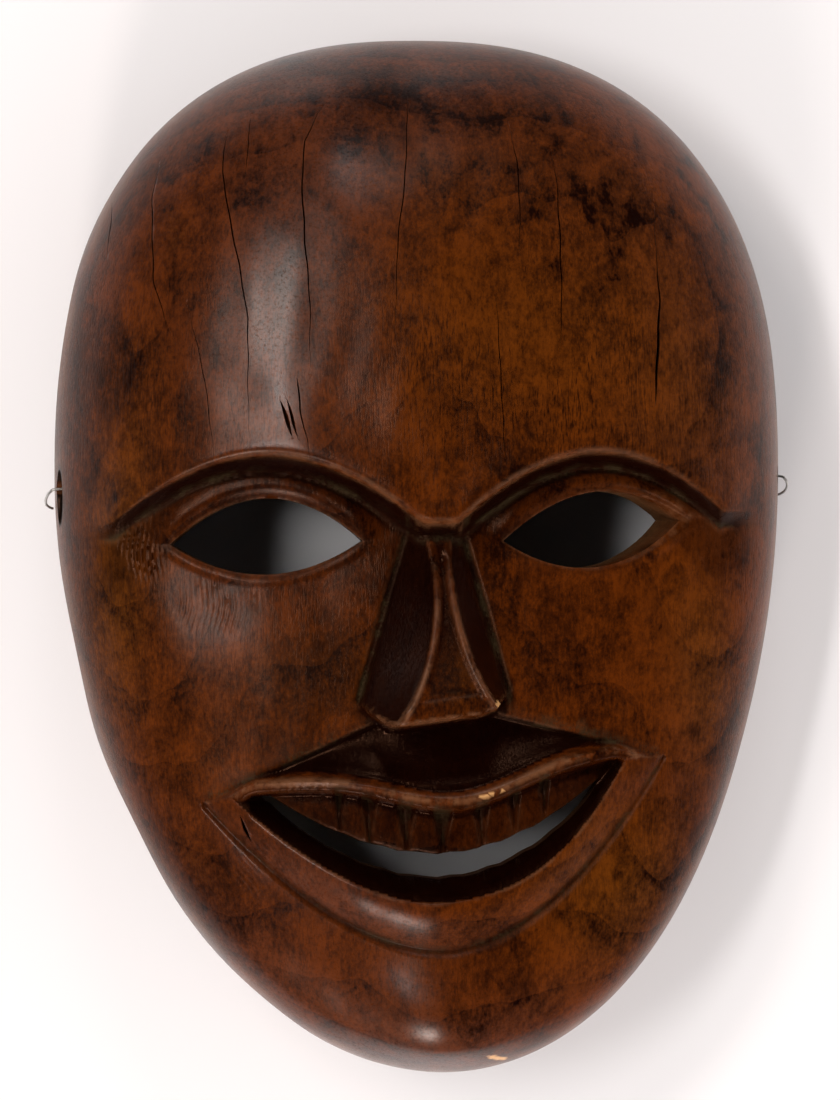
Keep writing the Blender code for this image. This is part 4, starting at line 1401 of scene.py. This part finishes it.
@dataclass
class MaskBody:
    """The carved wood: its face, its hollow, its openings, its cracks and its marks.

    Attributes:
        face: The carved front.
        finish: Colours and shine of the wood.
        columns: Cells of the front's grid across.
        rows: Cells of the grid up.
        share_kept: Share of the faces that is left when the grid is thinned out.
        rim_thickness: Width of the back rim.
        wall_thickness: Thickness of the wall behind the face.
        hole_diameter: Width of the wire holes.
        holes: Side, height up the face and height over the rim of each wire hole.
        cut_heights: Levels of the cutters through the face, from the hollow to over the nose.
        split_middle: Middle of the torn split at the left wire hole.
        split_half_size: Half of its width, height and depth.
        split_stain: The same of the dark wood in it.
        skin: Depths under the front where its finish ends and where it is whole.
        side_share: Shares of the way out where the outer sides begin.
        side_foot: Heights above the rim where the sides' finish begins.
        cracks: Drying cracks and gouges.
        rubbed: Patches where the stain is thin.
        stains: Patches where it is dark: stains, and painted shade over the eye sockets, at the inner eye
            corners, in the nose's cast shadow and down the left side.
        polished: Patches where the varnish is thick.
        open_grain: Patches where the pores show.
        chips: Small fresh chips.
        chip_edge: Share of a chip's patch at which its edge lies.
    """

    face: Face = field(default_factory=Face)
    finish: WoodFinish = field(default_factory=WoodFinish)
    columns: int = 480
    rows: int = 680
    share_kept: float = 0.235
    rim_thickness: float = 0.0095
    wall_thickness: float = 0.0110
    hole_diameter: float = 0.0056
    holes: tuple[tuple[int, float, float], ...] = ((-1, 0.0169, 0.0450), (1, 0.0205, 0.0420))
    cut_heights: tuple[float, ...] = (0.029, 0.062, 0.076, 0.122)
    split_middle: Place = (-0.0940, 0.0145, 0.0462)
    split_half_size: Place = (0.0024, 0.0076, 0.0034)
    split_stain: Place = (0.0026, 0.0080, 0.0037)
    skin: Point = (0.0006, 0.0002)
    side_share: Point = (0.925, 0.950)
    side_foot: Point = (0.0002, 0.0008)
    chip_edge: float = 0.55
    cracks: tuple[Crack, ...] = (
        Crack(((-0.0676, 0.1015), (-0.0697, 0.0907), (-0.0694, 0.0697), (-0.0664, 0.0594),
               (-0.0640, 0.0540))),
        Crack(((-0.0611, 0.0644), (-0.0586, 0.0541), (-0.0564, 0.0439), (-0.0546, 0.0288),
               (-0.0541, 0.0227)), 0.0003, 0.0015),
        Crack(((-0.0505, 0.1083), (-0.0519, 0.0979), (-0.0500, 0.0847), (-0.0475, 0.0718),
               (-0.0456, 0.0590), (-0.0456, 0.0388), (-0.0451, 0.0262)), 0.00055, 0.0024, 0.35),
        Crack(((-0.0441, 0.1133), (-0.0452, 0.1057), (-0.0459, 0.0951)), 0.0003, 0.0012),
        Crack(((-0.0263, 0.1148), (-0.0308, 0.1054), (-0.0318, 0.0948), (-0.0312, 0.0793),
               (-0.0300, 0.0640), (-0.0301, 0.0443)), 0.0006, 0.0026, 0.4),
        Crack(((-0.0333, 0.0448), (-0.0326, 0.0362), (-0.0308, 0.0287), (-0.0305, 0.0232)),
               0.0006, 0.0022, 0.3),
        Crack(((-0.0043, 0.1175), (-0.0057, 0.0948), (-0.0078, 0.0792), (-0.0087, 0.0560)),
               0.00045, 0.0020, 0.4),
        Crack(((0.0211, 0.1109), (0.0230, 0.1002), (0.0234, 0.0898), (0.0231, 0.0756)),
               0.0004, 0.0018),
        Crack(((0.0317, 0.1044), (0.0331, 0.0951), (0.0335, 0.0821), (0.0337, 0.0642),
               (0.0331, 0.0500)), 0.0005, 0.0022),
        Crack(((0.0585, 0.0987), (0.0587, 0.0776), (0.0594, 0.0647), (0.0588, 0.0540),
               (0.0584, 0.0460), (0.0578, 0.0371)), 0.0011, 0.0026, 0.78),
        Crack(((0.0169, 0.0666), (0.0178, 0.0489), (0.0185, 0.0337), (0.0192, 0.0215)),
               0.0004, 0.0018),
        Crack(((-0.0797, 0.0919), (-0.0812, 0.0756)), 0.0003, 0.0012),
        Crack(((-0.0376, 0.0390), (-0.0356, 0.0325), (-0.0343, 0.0290)), 0.0016, 0.0014, 0.5),
        Crack(((-0.0362, 0.0396), (-0.0344, 0.0337), (-0.0330, 0.0287)), 0.0012, 0.0012, 0.5),
        Crack(((-0.0475, -0.0665), (-0.0462, -0.0697), (-0.0442, -0.0735)), 0.0013, 0.0018, 0.5),
    )
    rubbed: tuple[Patch, ...] = (
        Patch((-0.0790, -0.0050), (0.0090, 0.0420), 0.9, -0.08),
        Patch((0.0740, -0.0320), (0.0100, 0.0300), 0.6, 0.20),
        Patch((0.0500, -0.0850), (0.0200, 0.0180), 0.7),
        Patch((0.0250, 0.0550), (0.0450, 0.0300), 0.45),
        Patch((0.0620, 0.0480), (0.0240, 0.0420), 0.40, 0.2),
        Patch((0.0080, -0.0300), (0.0050, 0.0100), 0.60),
        Patch((-0.0250, -0.0300), (0.0160, 0.0100), 0.4),
    )
    stains: tuple[Patch, ...] = (
        Patch((-0.0646, 0.0952), (0.0022, 0.0018), 1.0),
        Patch((-0.0580, 0.0901), (0.0016, 0.0026), 0.7),
        Patch((-0.0044, -0.0965), (0.0022, 0.0018), 1.0),
        Patch((-0.0520, -0.0130), (0.0110, 0.0100), 0.60),
        # Painted shade: a darker band down the left side.
        Patch((-0.0870, 0.0300), (0.0080, 0.0500), 0.50),
        Patch((-0.0030, -0.0485), (0.0045, 0.0060), 0.8),
        Patch((0.0072, -0.0486), (0.0040, 0.0060), 0.8),
        Patch((0.0060, -0.0345), (0.0052, 0.0010), 1.0),
        Patch((-0.0380, -0.0300), (0.0250, 0.0220), 0.36, 0.3),
        Patch((0.0340, -0.0260), (0.0170, 0.0240), 0.40, 0.2),
        # Painted shade over both eye sockets and at the inner eye corners, then the nose's cast shadow on
        # the right cheek.
        Patch((-0.0450, 0.0160), (0.0330, 0.0090), 0.80, 0.1),
        Patch((0.0440, 0.0170), (0.0330, 0.0090), 0.80, -0.1),
        Patch((-0.0160, 0.0020), (0.0070, 0.0120), 0.80),
        Patch((0.0190, 0.0000), (0.0060, 0.0140), 0.90),
        Patch((0.0245, -0.0200), (0.0028, 0.0230), 0.80, 0.35),
        Patch((0.0030, -0.0010), (0.0040, 0.0030), 0.50),
        Patch((0.0760, -0.0030), (0.0120, 0.0100), 0.30),
        Patch((-0.0760, 0.0020), (0.0080, 0.0080), 0.45),
        Patch((-0.0730, 0.0600), (0.0140, 0.0400), 0.34, -0.2),
        Patch((0.0760, 0.0560), (0.0120, 0.0400), 0.30, 0.2),
        Patch((-0.0100, 0.1240), (0.0560, 0.0120), 0.40),
        Patch((-0.0100, 0.0750), (0.0130, 0.0300), 0.26),
        Patch((-0.0600, -0.0900), (0.0200, 0.0260), 0.26, -0.4),
    )
    polished: tuple[Patch, ...] = (
        Patch((-0.0330, 0.0760), (0.0190, 0.0560), 1.0, -0.08),
        Patch((-0.0040, -0.1200), (0.0260, 0.0160), 1.0),
        Patch((-0.0260, -0.0830), (0.0260, 0.0080), 1.0, -0.45),
        Patch((-0.0540, -0.0150), (0.0120, 0.0150), 0.15),
        Patch((0.0030, 0.1160), (0.0140, 0.0120), 0.50),
        Patch((0.0100, -0.0590), (0.0400, 0.0030), 0.50),
        Patch((-0.0350, -0.1050), (0.0300, 0.0200), 0.50, -0.5),
    )
    open_grain: tuple[Patch, ...] = (
        Patch((0.0250, 0.0420), (0.0400, 0.0260), 0.55),
        Patch((-0.0560, 0.0500), (0.0200, 0.0300), 0.35),
        Patch((-0.0520, -0.0120), (0.0180, 0.0120), 0.40),
    )
    chips: tuple[Patch, ...] = (
        Patch((0.0150, -0.0613), (0.0030, 0.0007), 1.0, 0.25),
        Patch((0.0192, -0.0600), (0.0011, 0.0006), 1.0, 0.25),
        Patch((0.0322, -0.0545), (0.0012, 0.0006), 1.0, 0.40),
        Patch((0.0172, -0.0378), (0.0008, 0.0010), 1.0, 0.50),
        Patch((0.0190, -0.1297), (0.0040, 0.0009), 0.9, -0.27),
    )

    def build(self) -> bpy.types.Object:
        """Carve, cut and dress the mask, and give it to the frame."""
        body = link("carved_mask", self.block())
        thin = body.modifiers.new("thin_out", "DECIMATE")
        thin.ratio = self.share_kept
        cutters = [self.saw(), self.hollow(), *self.eye_cuts(), self.mouth_cut(), *self.hole_cuts()]
        cutters += [self.crack_cut(index, crack) for index, crack in enumerate(self.cracks)]
        cutters.append(self.split_cut())
        for cutter in cutters:
            cut = body.modifiers.new(cutter.name, "BOOLEAN")
            cut.operation = "DIFFERENCE"
            cut.solver = "MANIFOLD"
            cut.object = cutter
        settled = body.evaluated_get(bpy.context.evaluated_depsgraph_get())
        finished = bpy.data.meshes.new_from_object(settled)
        body.modifiers.clear()
        body.data = finished
        for cutter in cutters:
            bpy.data.objects.remove(cutter, do_unlink=True)
        self.dress(body)
        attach(body, "root")
        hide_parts("mask_body")
        LOG.info("mask: %d faces", len(finished.polygons))
        return body

    def block(self) -> bpy.types.Mesh:
        """The carved front on its sides, still solid behind."""
        carver = CarvedBlock("carved_mask", self.columns, self.rows, 0.0002, -0.003)
        return carver.build(lambda x, y, share: self.face.height(x, y) - 0.0001, True)

    def saw(self) -> bpy.types.Object:
        """The slab that is sawn off to leave the flat back rim."""
        shaper = bmesh.new()
        bmesh.ops.create_cube(shaper, size=1.0)
        bmesh.ops.scale(shaper, vec=(0.4, 0.5, 0.02), verts=shaper.verts)
        bmesh.ops.translate(shaper, vec=(0.0, 0.0, -0.00999), verts=shaper.verts)
        return link("saw", to_mesh("saw", shaper))

    def hollow(self) -> bpy.types.Object:
        """The hollow behind, with the shallow scoops of the gouge."""
        blank = self.face.blank
        scoops = Ripple(0.0105, 2.2, 21, 9)

        def height(x: Numbers, y: Numbers, share: Numbers) -> Numbers:
            forehead, cheeks = (
                (rise - self.wall_thickness) * blank.dome(share, fullness)
                for rise, fullness in ((blank.forehead_rise, blank.forehead_fullness),
                                       (blank.cheek_rise, blank.cheek_fullness))
            )
            blend = smooth_step(0.081, 0.0162, y)
            smooth = blank.side_height + forehead + (cheeks - forehead) * blend
            return smooth - 0.0007 * np.abs(scoops.height(x, y)) * smooth_step(1.0, 0.96, share)

        carver = CarvedBlock("hollow", 90, 128, self.rim_thickness, -0.006)
        return link("hollow", carver.build(height, False))

    def through_cut(self, name: str, front: list[Point], back: list[Point]) -> bpy.types.Object:
        """A cutter through the face, lofted between an outline in front and one behind.

        Args:
            name: Name of the cutter.
            front: Points round the opening in front.
            back: As many points round it behind.

        Returns:
            The cutter.
        """
        shaper = bmesh.new()
        loops = []
        for height, outline in zip(self.cut_heights, (back, back, front, front)):
            corners = [shaper.verts.new((x, y, height)) for x, y in outline]
            loops.append([shaper.edges.new(pair) for pair in zip(corners, corners[1:] + corners[:1])])
        for lower, upper in zip(loops, loops[1:]):
            bmesh.ops.bridge_loops(shaper, edges=lower + upper)
        bmesh.ops.edgeloop_fill(shaper, edges=loops[0])
        bmesh.ops.edgeloop_fill(shaper, edges=loops[-1])
        bmesh.ops.triangulate(shaper, faces=shaper.faces)
        return link(name, to_mesh(name, shaper))

    def eye_cuts(self) -> list[bpy.types.Object]:
        """Cutters for the two eye openings."""
        return [self.through_cut(name, eye.outline(1.0), eye.outline(eye.length_behind))
                for name, eye in zip(("left_eye", "right_eye"), self.face.eyes)]

    def mouth_cut(self) -> bpy.types.Object:
        """Cutter for the slot under the teeth."""
        outline = self.face.mouth.slot_outline()
        return self.through_cut("mouth_slot", outline, outline)

    def side_x(self, side: int, y: float, z: float) -> float:
        """x of the mask's outer side at a place up the face and above the back rim."""
        blank = self.face.blank
        span = np.linspace(0.4, 1.0, 1200) * blank.half_width
        lean = float(blank.lean(np.float64(y)))
        row = np.full(span.shape, y)
        if z <= blank.side_height:
            inside = blank.share(lean + side * span, row) <= 1.0
            return lean + side * (span[inside].max() - float(blank.side_inset(np.float64(z))))
        inside = self.face.brows.form(lean + side * span, row) > z
        return lean + side * span[inside].max()

    def hole_cuts(self) -> list[bpy.types.Object]:
        """Drills for the two wire holes."""
        drills = []
        for name, (side, y, z) in zip(("left_wire_hole", "right_wire_hole"), self.holes):
            shaper = bmesh.new()
            bmesh.ops.create_cone(shaper, cap_ends=True, segments=28, radius1=self.hole_diameter / 2,
                                  radius2=self.hole_diameter / 2, depth=4 * self.rim_thickness)
            turn = Matrix.Rotation(math.pi / 2, 4, "Y")
            bmesh.ops.transform(shaper, matrix=turn, verts=shaper.verts)
            bmesh.ops.translate(shaper, vec=(self.side_x(side, y, z), y, z), verts=shaper.verts)
            drills.append(link(name, to_mesh(name, shaper)))
        return drills

    def split_cut(self) -> bpy.types.Object:
        """The torn split round the left wire hole."""
        shaper = bmesh.new()
        bmesh.ops.create_icosphere(shaper, subdivisions=3, radius=1.0)
        bmesh.ops.scale(shaper, vec=self.split_half_size, verts=shaper.verts)
        bmesh.ops.translate(shaper, vec=self.split_middle, verts=shaper.verts)
        return link("split", to_mesh("split", shaper))

    def crack_cut(self, index: int, crack: Crack) -> bpy.types.Object:
        """A thin wedge that opens one crack.

        Args:
            index: Number of the crack.
            crack: Its line and its size.

        Returns:
            The cutter.
        """
        shaper = bmesh.new()
        bmesh.ops.create_cube(shaper, size=1.0)
        steps = 3 * len(crack.route) + 8
        long_edges = [edge for edge in shaper.edges
                      if abs(edge.verts[0].co.x - edge.verts[1].co.x) > 0.5]
        bmesh.ops.subdivide_edges(shaper, edges=long_edges, cuts=steps, use_grid_fill=True)
        mesh = to_mesh(f"crack_{index}", shaper)
        block = places(mesh)
        run = block[:, 0] + 0.5
        corners = np.array(crack.route)
        marks = np.concatenate(([0.0], np.cumsum(np.hypot(*np.diff(corners, axis=0).T))))
        x = np.interp(run * marks[-1], marks, corners[:, 0])
        y = np.interp(run * marks[-1], marks, corners[:, 1])
        x = x + 0.00012 * np.sin(run * marks[-1] * 520.0 + index)
        power = math.log(0.5) / math.log(crack.swell)
        taper = np.sin(math.pi * np.clip(run, 0.0, 1.0) ** power) ** 0.7 + 0.02
        top = block[:, 2] > 0.0
        surface = self.face.height(x, y)
        half = 0.34 * crack.width * taper * np.where(top, 1.0, 0.15)
        lifted = np.where(top, 0.0012, -crack.depth * taper)
        widen = 1.0 + 0.0012 / crack.depth * top
        move(mesh, np.column_stack((x + 2.0 * block[:, 1] * half * widen, y, surface + lifted)))
        return link(mesh.name, mesh)

    def read(self, rows: Numbers) -> Reading:
        """Work out where vertices lie on the carving."""
        x, y, z = rows.T
        face, mouth = self.face, self.face.mouth
        depth = np.clip(face.height(x, y) - z, 0.0, None)
        front = smooth_step(*self.skin, depth)
        side = smooth_step(*self.side_share, face.blank.share(x, y)) * smooth_step(*self.side_foot, z)
        along, up = mouth.place(x, y)
        in_grin = ((up < mouth.ridge(along) - 0.0012) & (up > mouth.grin(along) + 0.0002)
                   & (np.abs(along) < mouth.half_length)).astype(float)
        return Reading(x, y, z, depth, front, np.maximum(front, side), along, up, in_grin,
                       mouth.notched(along, up) * in_grin, face.brows.below(x, y),
                       1.0 - face.nose.covers(x, y))

    def stain_and_painted_shade_mark(self, at: Reading) -> Numbers:
        """Near black in the front: dark stain on the nose's sides, the teeth and the upper lip, and painted
        shade in the hollows, in the cuts between the teeth, under the brows, over the lids, in the nose
        strip's hollow and in the mouth's pocket.
        """
        nose, mouth = self.face.nose, self.face.mouth
        above_rim = (mouth.leaf_top(at.along) - at.up) * (at.up - mouth.ridge(at.along) - 0.0017)
        lip_ends = smooth_step(0.056, 0.049, np.abs(at.along - 0.002))
        on_lip = smooth_step(0.0, 0.0000015, above_rim) * lip_ends * at.off_nose
        in_pocket = smooth_step(0.0, 0.0010, mouth.teeth_line(at.along) - at.up) * at.in_grin
        off_temple = 1.0 - self.face.brows.temple(at.x, at.y)
        under_brow = smooth_step(0.0003, 0.0010, at.below) * smooth_step(0.0052, 0.0040, at.below)
        lids = smooth_step(0.0045, 0.0060, at.below) * smooth_step(0.0200, 0.0110, at.below)
        return strongest(
            # Painted shade in the hollows, darker where the surface round a place stands over it.
            0.90 * smooth_step(0.0002, 0.0014, self.face.bend(at.x, at.y, 0.0035)),
            0.93 * nose.on_sides(at.x, at.y),
            # Painted shade in the hollow of the nose's front strip.
            nose.shade(at.x, at.y),
            0.96 * on_lip,
            0.60 * at.in_grin,
            # Painted shade in the pocket behind the teeth.
            0.96 * in_pocket,
            0.75 * at.notched,
            # Painted shade on the brows' undersides and over the lids.
            0.96 * under_brow * off_temple,
            0.50 * lids * off_temple,
        )

    def dust_mark(self, at: Reading) -> Numbers:
        """Dust that has settled in the creases."""
        mouth = self.face.mouth
        by_lips = np.abs(at.along) < 0.058
        return strongest(
            0.80 * self.face.brows.crease(at.x, at.y),
            self.face.nose.foot_crease(at.x, at.y),
            bell(at.up - mouth.leaf_top(at.along), 0.0010) * by_lips * at.off_nose,
            0.55 * bell(at.up - mouth.lip_foot(at.along), 0.0008) * by_lips,
            0.50 * at.notched,
        )

    def wear_and_highlight_mark(self, at: Reading) -> Numbers:
        """Rubbing along the raised edges, and a painted highlight along the nose strip's edges."""
        raised = smooth_step(-0.00006, -0.00035, self.face.bend(at.x, at.y, 0.0010))
        from_rim = np.abs(at.up - self.face.mouth.ridge(at.along) + 0.0004)
        return strongest(
            0.45 * raised * (1.0 - 0.8 * at.in_grin),
            # Painted highlight along the nose strip's edges.
            self.face.nose.edge(at.x, at.y),
            0.80 * smooth_step(0.0016, 0.0004, from_rim) * (np.abs(at.along) < 0.052),
            *(0.35 * smooth_step(0.0007, 0.0001, eye.rim_distance(at.x, at.y)) for eye in self.face.eyes),
        )

    def crack_mark(self, at: Reading) -> Numbers:
        """Dark wood inside the cracks and inside the split at the wire hole."""
        cracked = strongest(*(smooth_step(0.0016, 0.0010, route_gap(at.x, at.y, crack.route))
                              for crack in self.cracks))
        inside = smooth_step(0.0001, 0.0008, at.depth) * smooth_step(0.0045, 0.0035, at.depth)
        away = sum(((place - middle) / half) ** 2 for place, middle, half
                   in zip((at.x, at.y, at.z), self.split_middle, self.split_stain))
        return np.maximum(cracked * inside, smooth_step(1.04, 0.98, np.sqrt(away)))

    def marks(self, rows: Numbers) -> dict[Mark, Numbers]:
        """Work out the marks that the material reads, for each vertex."""
        at = self.read(rows)
        x, y = at.x, at.y
        ridge = self.wear_and_highlight_mark(at)
        bare = (1.0 - at.outer) * smooth_step(0.0065, 0.0085, at.depth)
        # The walls of the openings, cracks and holes get painted shade, near black.
        cut_walls = (1.0 - at.outer) * (1.0 - bare)
        polish = np.maximum(patches(x, y, self.polished), self.face.nose.edge(x, y))
        return {
            # Dark stain, and painted shade in the hollows and on the walls of the cuts.
            Mark.STAIN_AND_PAINTED_SHADE: np.clip(self.stain_and_painted_shade_mark(at) * at.front + cut_walls, 0.0, 1.0),
            Mark.DUST: 0.85 * self.dust_mark(at) * np.clip(1.0 - 1.2 * ridge, 0.0, 1.0) * at.front,
            # Rubbed edges, and a painted highlight along the nose strip's edges.
            Mark.WEAR_AND_HIGHLIGHT: ridge * at.front,
            Mark.BARE: bare,
            Mark.CRACK: self.crack_mark(at),
            Mark.DAPPLE: 0.10 + 0.45 * smooth_step(0.050, 0.100, y) + 0.15 * smooth_step(0.0, 0.06, x),
            Mark.THIN: patches(x, y, self.rubbed),
            # Stain patches, with painted shade among them.
            Mark.SPOT: patches(x, y, self.stains) * at.outer,
            Mark.OPEN: 0.30 + patches(x, y, self.open_grain),
            Mark.POLISH: polish * at.outer,
            Mark.CHIP: (patches(x, y, self.chips) > self.chip_edge) * at.front,
        }

    def dress(self, body: bpy.types.Object) -> None:
        """Shade the mesh, store its marks and give it its finish."""
        mesh = body.data
        mesh.shade_smooth()
        mesh.set_sharp_from_angle(angle=math.radians(52.0))
        for mark, values in self.marks(places(mesh)).items():
            stored = mesh.attributes.new(mark.value, "FLOAT", "POINT")
            stored.data.foreach_set("value", values.astype(np.float32))
        mesh.materials.clear()
        mesh.materials.append(wood_material(self.finish))


@dataclass
class HangingWire:
    """Thin steel wire, slack across the hollow and bent over outside each hole.

    Attributes:
        mask: The wood that it hangs in.
        finish: Colours and shine of the steel.
        diameter: Its thickness.
        sag: How far it sags in the middle of its span.
        clearance: Gap that it keeps from the wood.
        length: Its real length; not used.
        bends: Points of a hook: slide down the face, drop and distance off the side.
    """

    mask: MaskBody
    finish: SteelFinish = field(default_factory=SteelFinish)
    diameter: float = 0.0007
    sag: float = 0.0060
    clearance: float = 0.0003
    length: float = 0.228
    bends: tuple[Place, ...] = (
        (0.0008, 0.0006, 0.0012),
        (0.0024, 0.0032, 0.0019),
        (0.0038, 0.0075, 0.0017),
        (0.0046, 0.0120, 0.0009),
        (0.0049, 0.0165, 0.0001),
    )

    def rest(self) -> float:
        """How far below a hole's axis the wire lies in it."""
        return (self.mask.hole_diameter - self.diameter) / 2 - self.clearance

    def hook(self, side: int, y: float, z: float) -> list[Vector]:
        """Points from a hole's mouth out and round to the wire's bent-over tip."""
        lower = z - self.rest() * 0.6
        points = [Vector((self.mask.side_x(side, y, z), y, lower))]
        for slide, drop, stand_off in self.bends:
            out = self.diameter / 2 + self.clearance + stand_off
            x = self.mask.side_x(side, y - slide, lower - drop) + side * out
            points.append(Vector((x, y - slide, lower - drop)))
        return points

    def route(self) -> list[Vector]:
        """The wire from its left tip through both holes to its right tip."""
        (left_side, left_y, left_z), (right_side, right_y, right_z) = self.mask.holes
        left = self.hook(left_side, left_y, left_z)
        right = self.hook(right_side, right_y, right_z)
        start = Vector((left[0].x + self.mask.rim_thickness, left_y, left_z - self.rest()))
        end = Vector((right[0].x - self.mask.rim_thickness, right_y, right_z - self.rest()))
        span = []
        for step in range(9):
            point = start.lerp(end, step / 8)
            point.z -= 4.0 * self.sag * (step / 8) * (1.0 - step / 8)
            span.append(point)
        return left[::-1] + span + right

    @staticmethod
    def smooth(points: list[Vector], steps: int = 5) -> list[Vector]:
        """A smooth curve through points, with so many steps between each two."""
        route = []
        for index in range(len(points) - 1):
            before, start = points[max(index - 1, 0)], points[index]
            end, after = points[index + 1], points[min(index + 2, len(points) - 1)]
            for step in range(steps):
                t = step / steps
                route.append(0.5 * (2.0 * start + (end - before) * t
                                    + (2.0 * before - 5.0 * start + 4.0 * end - after) * t ** 2
                                    + (3.0 * start - 3.0 * end + after - before) * t ** 3))
        return route + [points[-1]]

    def build(self) -> bpy.types.Object:
        """Make the wire, put it under the root body and hide the imported wire."""
        curve = bpy.data.curves.new("hanging_wire_steel", "CURVE")
        curve.dimensions = "3D"
        curve.bevel_depth = self.diameter / 2
        curve.bevel_resolution = 3
        curve.use_fill_caps = True
        route = self.smooth(self.route())
        spline = curve.splines.new("POLY")
        spline.points.add(len(route) - 1)
        spline.use_smooth = True
        for point, place in zip(spline.points, route):
            point.co = (*place, 1.0)
        curve.materials.append(steel_material(self.finish))
        wire = link("hanging_wire_steel", curve)
        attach(wire, "root")
        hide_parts("hanging_wire")
        length = sum((b - a).length for a, b in zip(route, route[1:]))
        LOG.info("wire: %.4f m long", length)
        return wire


@dataclass(frozen=True)
class SoftLight:
    """One flat, oval studio light that is aimed at the mask.

    Attributes:
        name: What it is called in the scene.
        place: Where it stands.
        size: Its width and height.
        power: Its power in watts.
        colour: Colour of its light.
    """

    name: str
    place: Place
    size: Point
    power: float
    colour: Colour = (1.0, 0.985, 0.97)


@dataclass
class Studio:
    """The pale table, the soft lights and the camera over the mask.

    Attributes:
        aim: Place that the lights and the camera look at.
        camera_place: Where the camera stands.
        focal_length: Its focal length in millimetres.
        shift: Its shift, as shares of the picture's width.
        table_colour: Colour of the table top.
        horizon: Brightness of the room's walls.
        zenith: Brightness of its ceiling.
        lights: The studio lights.
    """

    aim: Place = (0.0, 0.0, 0.028)
    camera_place: Place = (-0.075, 0.0, 1.328)
    focal_length: float = 161.3
    shift: Point = (0.0041, 0.0036)
    table_colour: Colour = (0.92, 0.895, 0.90)
    horizon: float = 2.30
    zenith: float = 0.02
    lights: tuple[SoftLight, ...] = (
        SoftLight("key", (-0.618, 0.040, 1.463), (0.50, 0.10), 6.6),
        SoftLight("window", (-0.86, 0.66, 1.72), (0.70, 0.26), 8.5, WARM),
        SoftLight("pane", (0.02, 1.50, 1.25), (0.40, 0.40), 2.5),
        SoftLight("foot", (-0.42, -1.80, 1.20), (0.36, 0.60), 13.0, WARM),
    )

    def build(self) -> None:
        """Lay the table, light it and set the camera."""
        self.table()
        self.world()
        for light in self.lights:
            self.light(light)
        self.camera()
        scene = bpy.context.scene
        scene.view_settings.view_transform = "Standard"
        scene.view_settings.look = "None"

    def table(self) -> None:
        """The pale table top."""
        shaper = bmesh.new()
        bmesh.ops.create_grid(shaper, x_segments=2, y_segments=2, size=3.0)
        bmesh.ops.translate(shaper, vec=(0.0, 0.0, -0.0002), verts=shaper.verts)
        table = link("table_top", to_mesh("table_top", shaper))
        material, graph, shader, place = new_material("pale_paper")
        tone = graph.mix(graph.noise(place, 3.0, 2.0), self.table_colour,
                         tuple(0.985 * part for part in self.table_colour))
        graph.feed(shader.inputs["Base Color"], tone)
        shader.inputs["Roughness"].default_value = 0.9
        table.data.materials.append(material)

    def world(self) -> None:
        """Soft white walls all round, under a dark ceiling."""
        world = bpy.data.worlds.new("white_room")
        world.use_nodes = True
        graph = Graph(world.node_tree)
        backdrop = world.node_tree.nodes["Background"]
        backdrop.inputs["Color"].default_value = (1.0, 0.985, 0.985, 1.0)
        apart = graph.node("ShaderNodeSeparateXYZ")
        graph.feed(apart.inputs[0], graph.node("ShaderNodeTexCoord").outputs["Generated"])
        walls = graph.less(1.0, graph.ramp(apart.outputs[2], 0.35, 0.75))
        tilt = graph.add(graph.times(apart.outputs[0], 0.27), graph.times(apart.outputs[1], -0.36))
        walls = graph.times(walls, graph.add(tilt, 1.0))
        glow = graph.add(graph.times(walls, self.horizon), self.zenith)
        graph.feed(backdrop.inputs["Strength"], glow)
        world.cycles_visibility.glossy = False
        bpy.context.scene.world = world

    def light(self, light: SoftLight) -> None:
        """Hang one flat light, aimed at the mask."""
        lamp = bpy.data.lights.new(light.name, "AREA")
        lamp.shape = "ELLIPSE"
        lamp.size, lamp.size_y = light.size
        lamp.energy = light.power
        lamp.color = light.colour
        hung = link(light.name, lamp)
        hung.location = light.place
        hung.rotation_euler = (Vector(self.aim) - Vector(light.place)).to_track_quat("-Z", "Y").to_euler()

    def camera(self) -> None:
        """Set the camera over the mask, with the forehead up in the picture."""
        lens = bpy.data.cameras.new("camera")
        lens.lens = self.focal_length
        lens.sensor_width = 36.0
        lens.shift_x, lens.shift_y = self.shift
        lens.clip_end = 20.0
        camera = link("camera", lens)
        ahead = (Vector(self.aim) - Vector(self.camera_place)).normalized()
        right = ahead.cross(Vector((0.0, 1.0, 0.0))).normalized()
        up = right.cross(ahead)
        turn = Matrix((right, up, -ahead)).transposed().to_4x4()
        camera.matrix_world = Matrix.Translation(self.camera_place) @ turn
        bpy.context.scene.camera = camera


def main() -> None:
    """Build the studio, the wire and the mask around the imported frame."""
    logging.basicConfig(level=logging.INFO, format="%(name)s: %(message)s")
    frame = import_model()
    LOG.info("frame: %s", ", ".join(sorted(frame["nodes"])))
    Studio().build()
    mask = MaskBody()
    HangingWire(mask).build()
    mask.build()


if __name__ == "__main__":
    main()
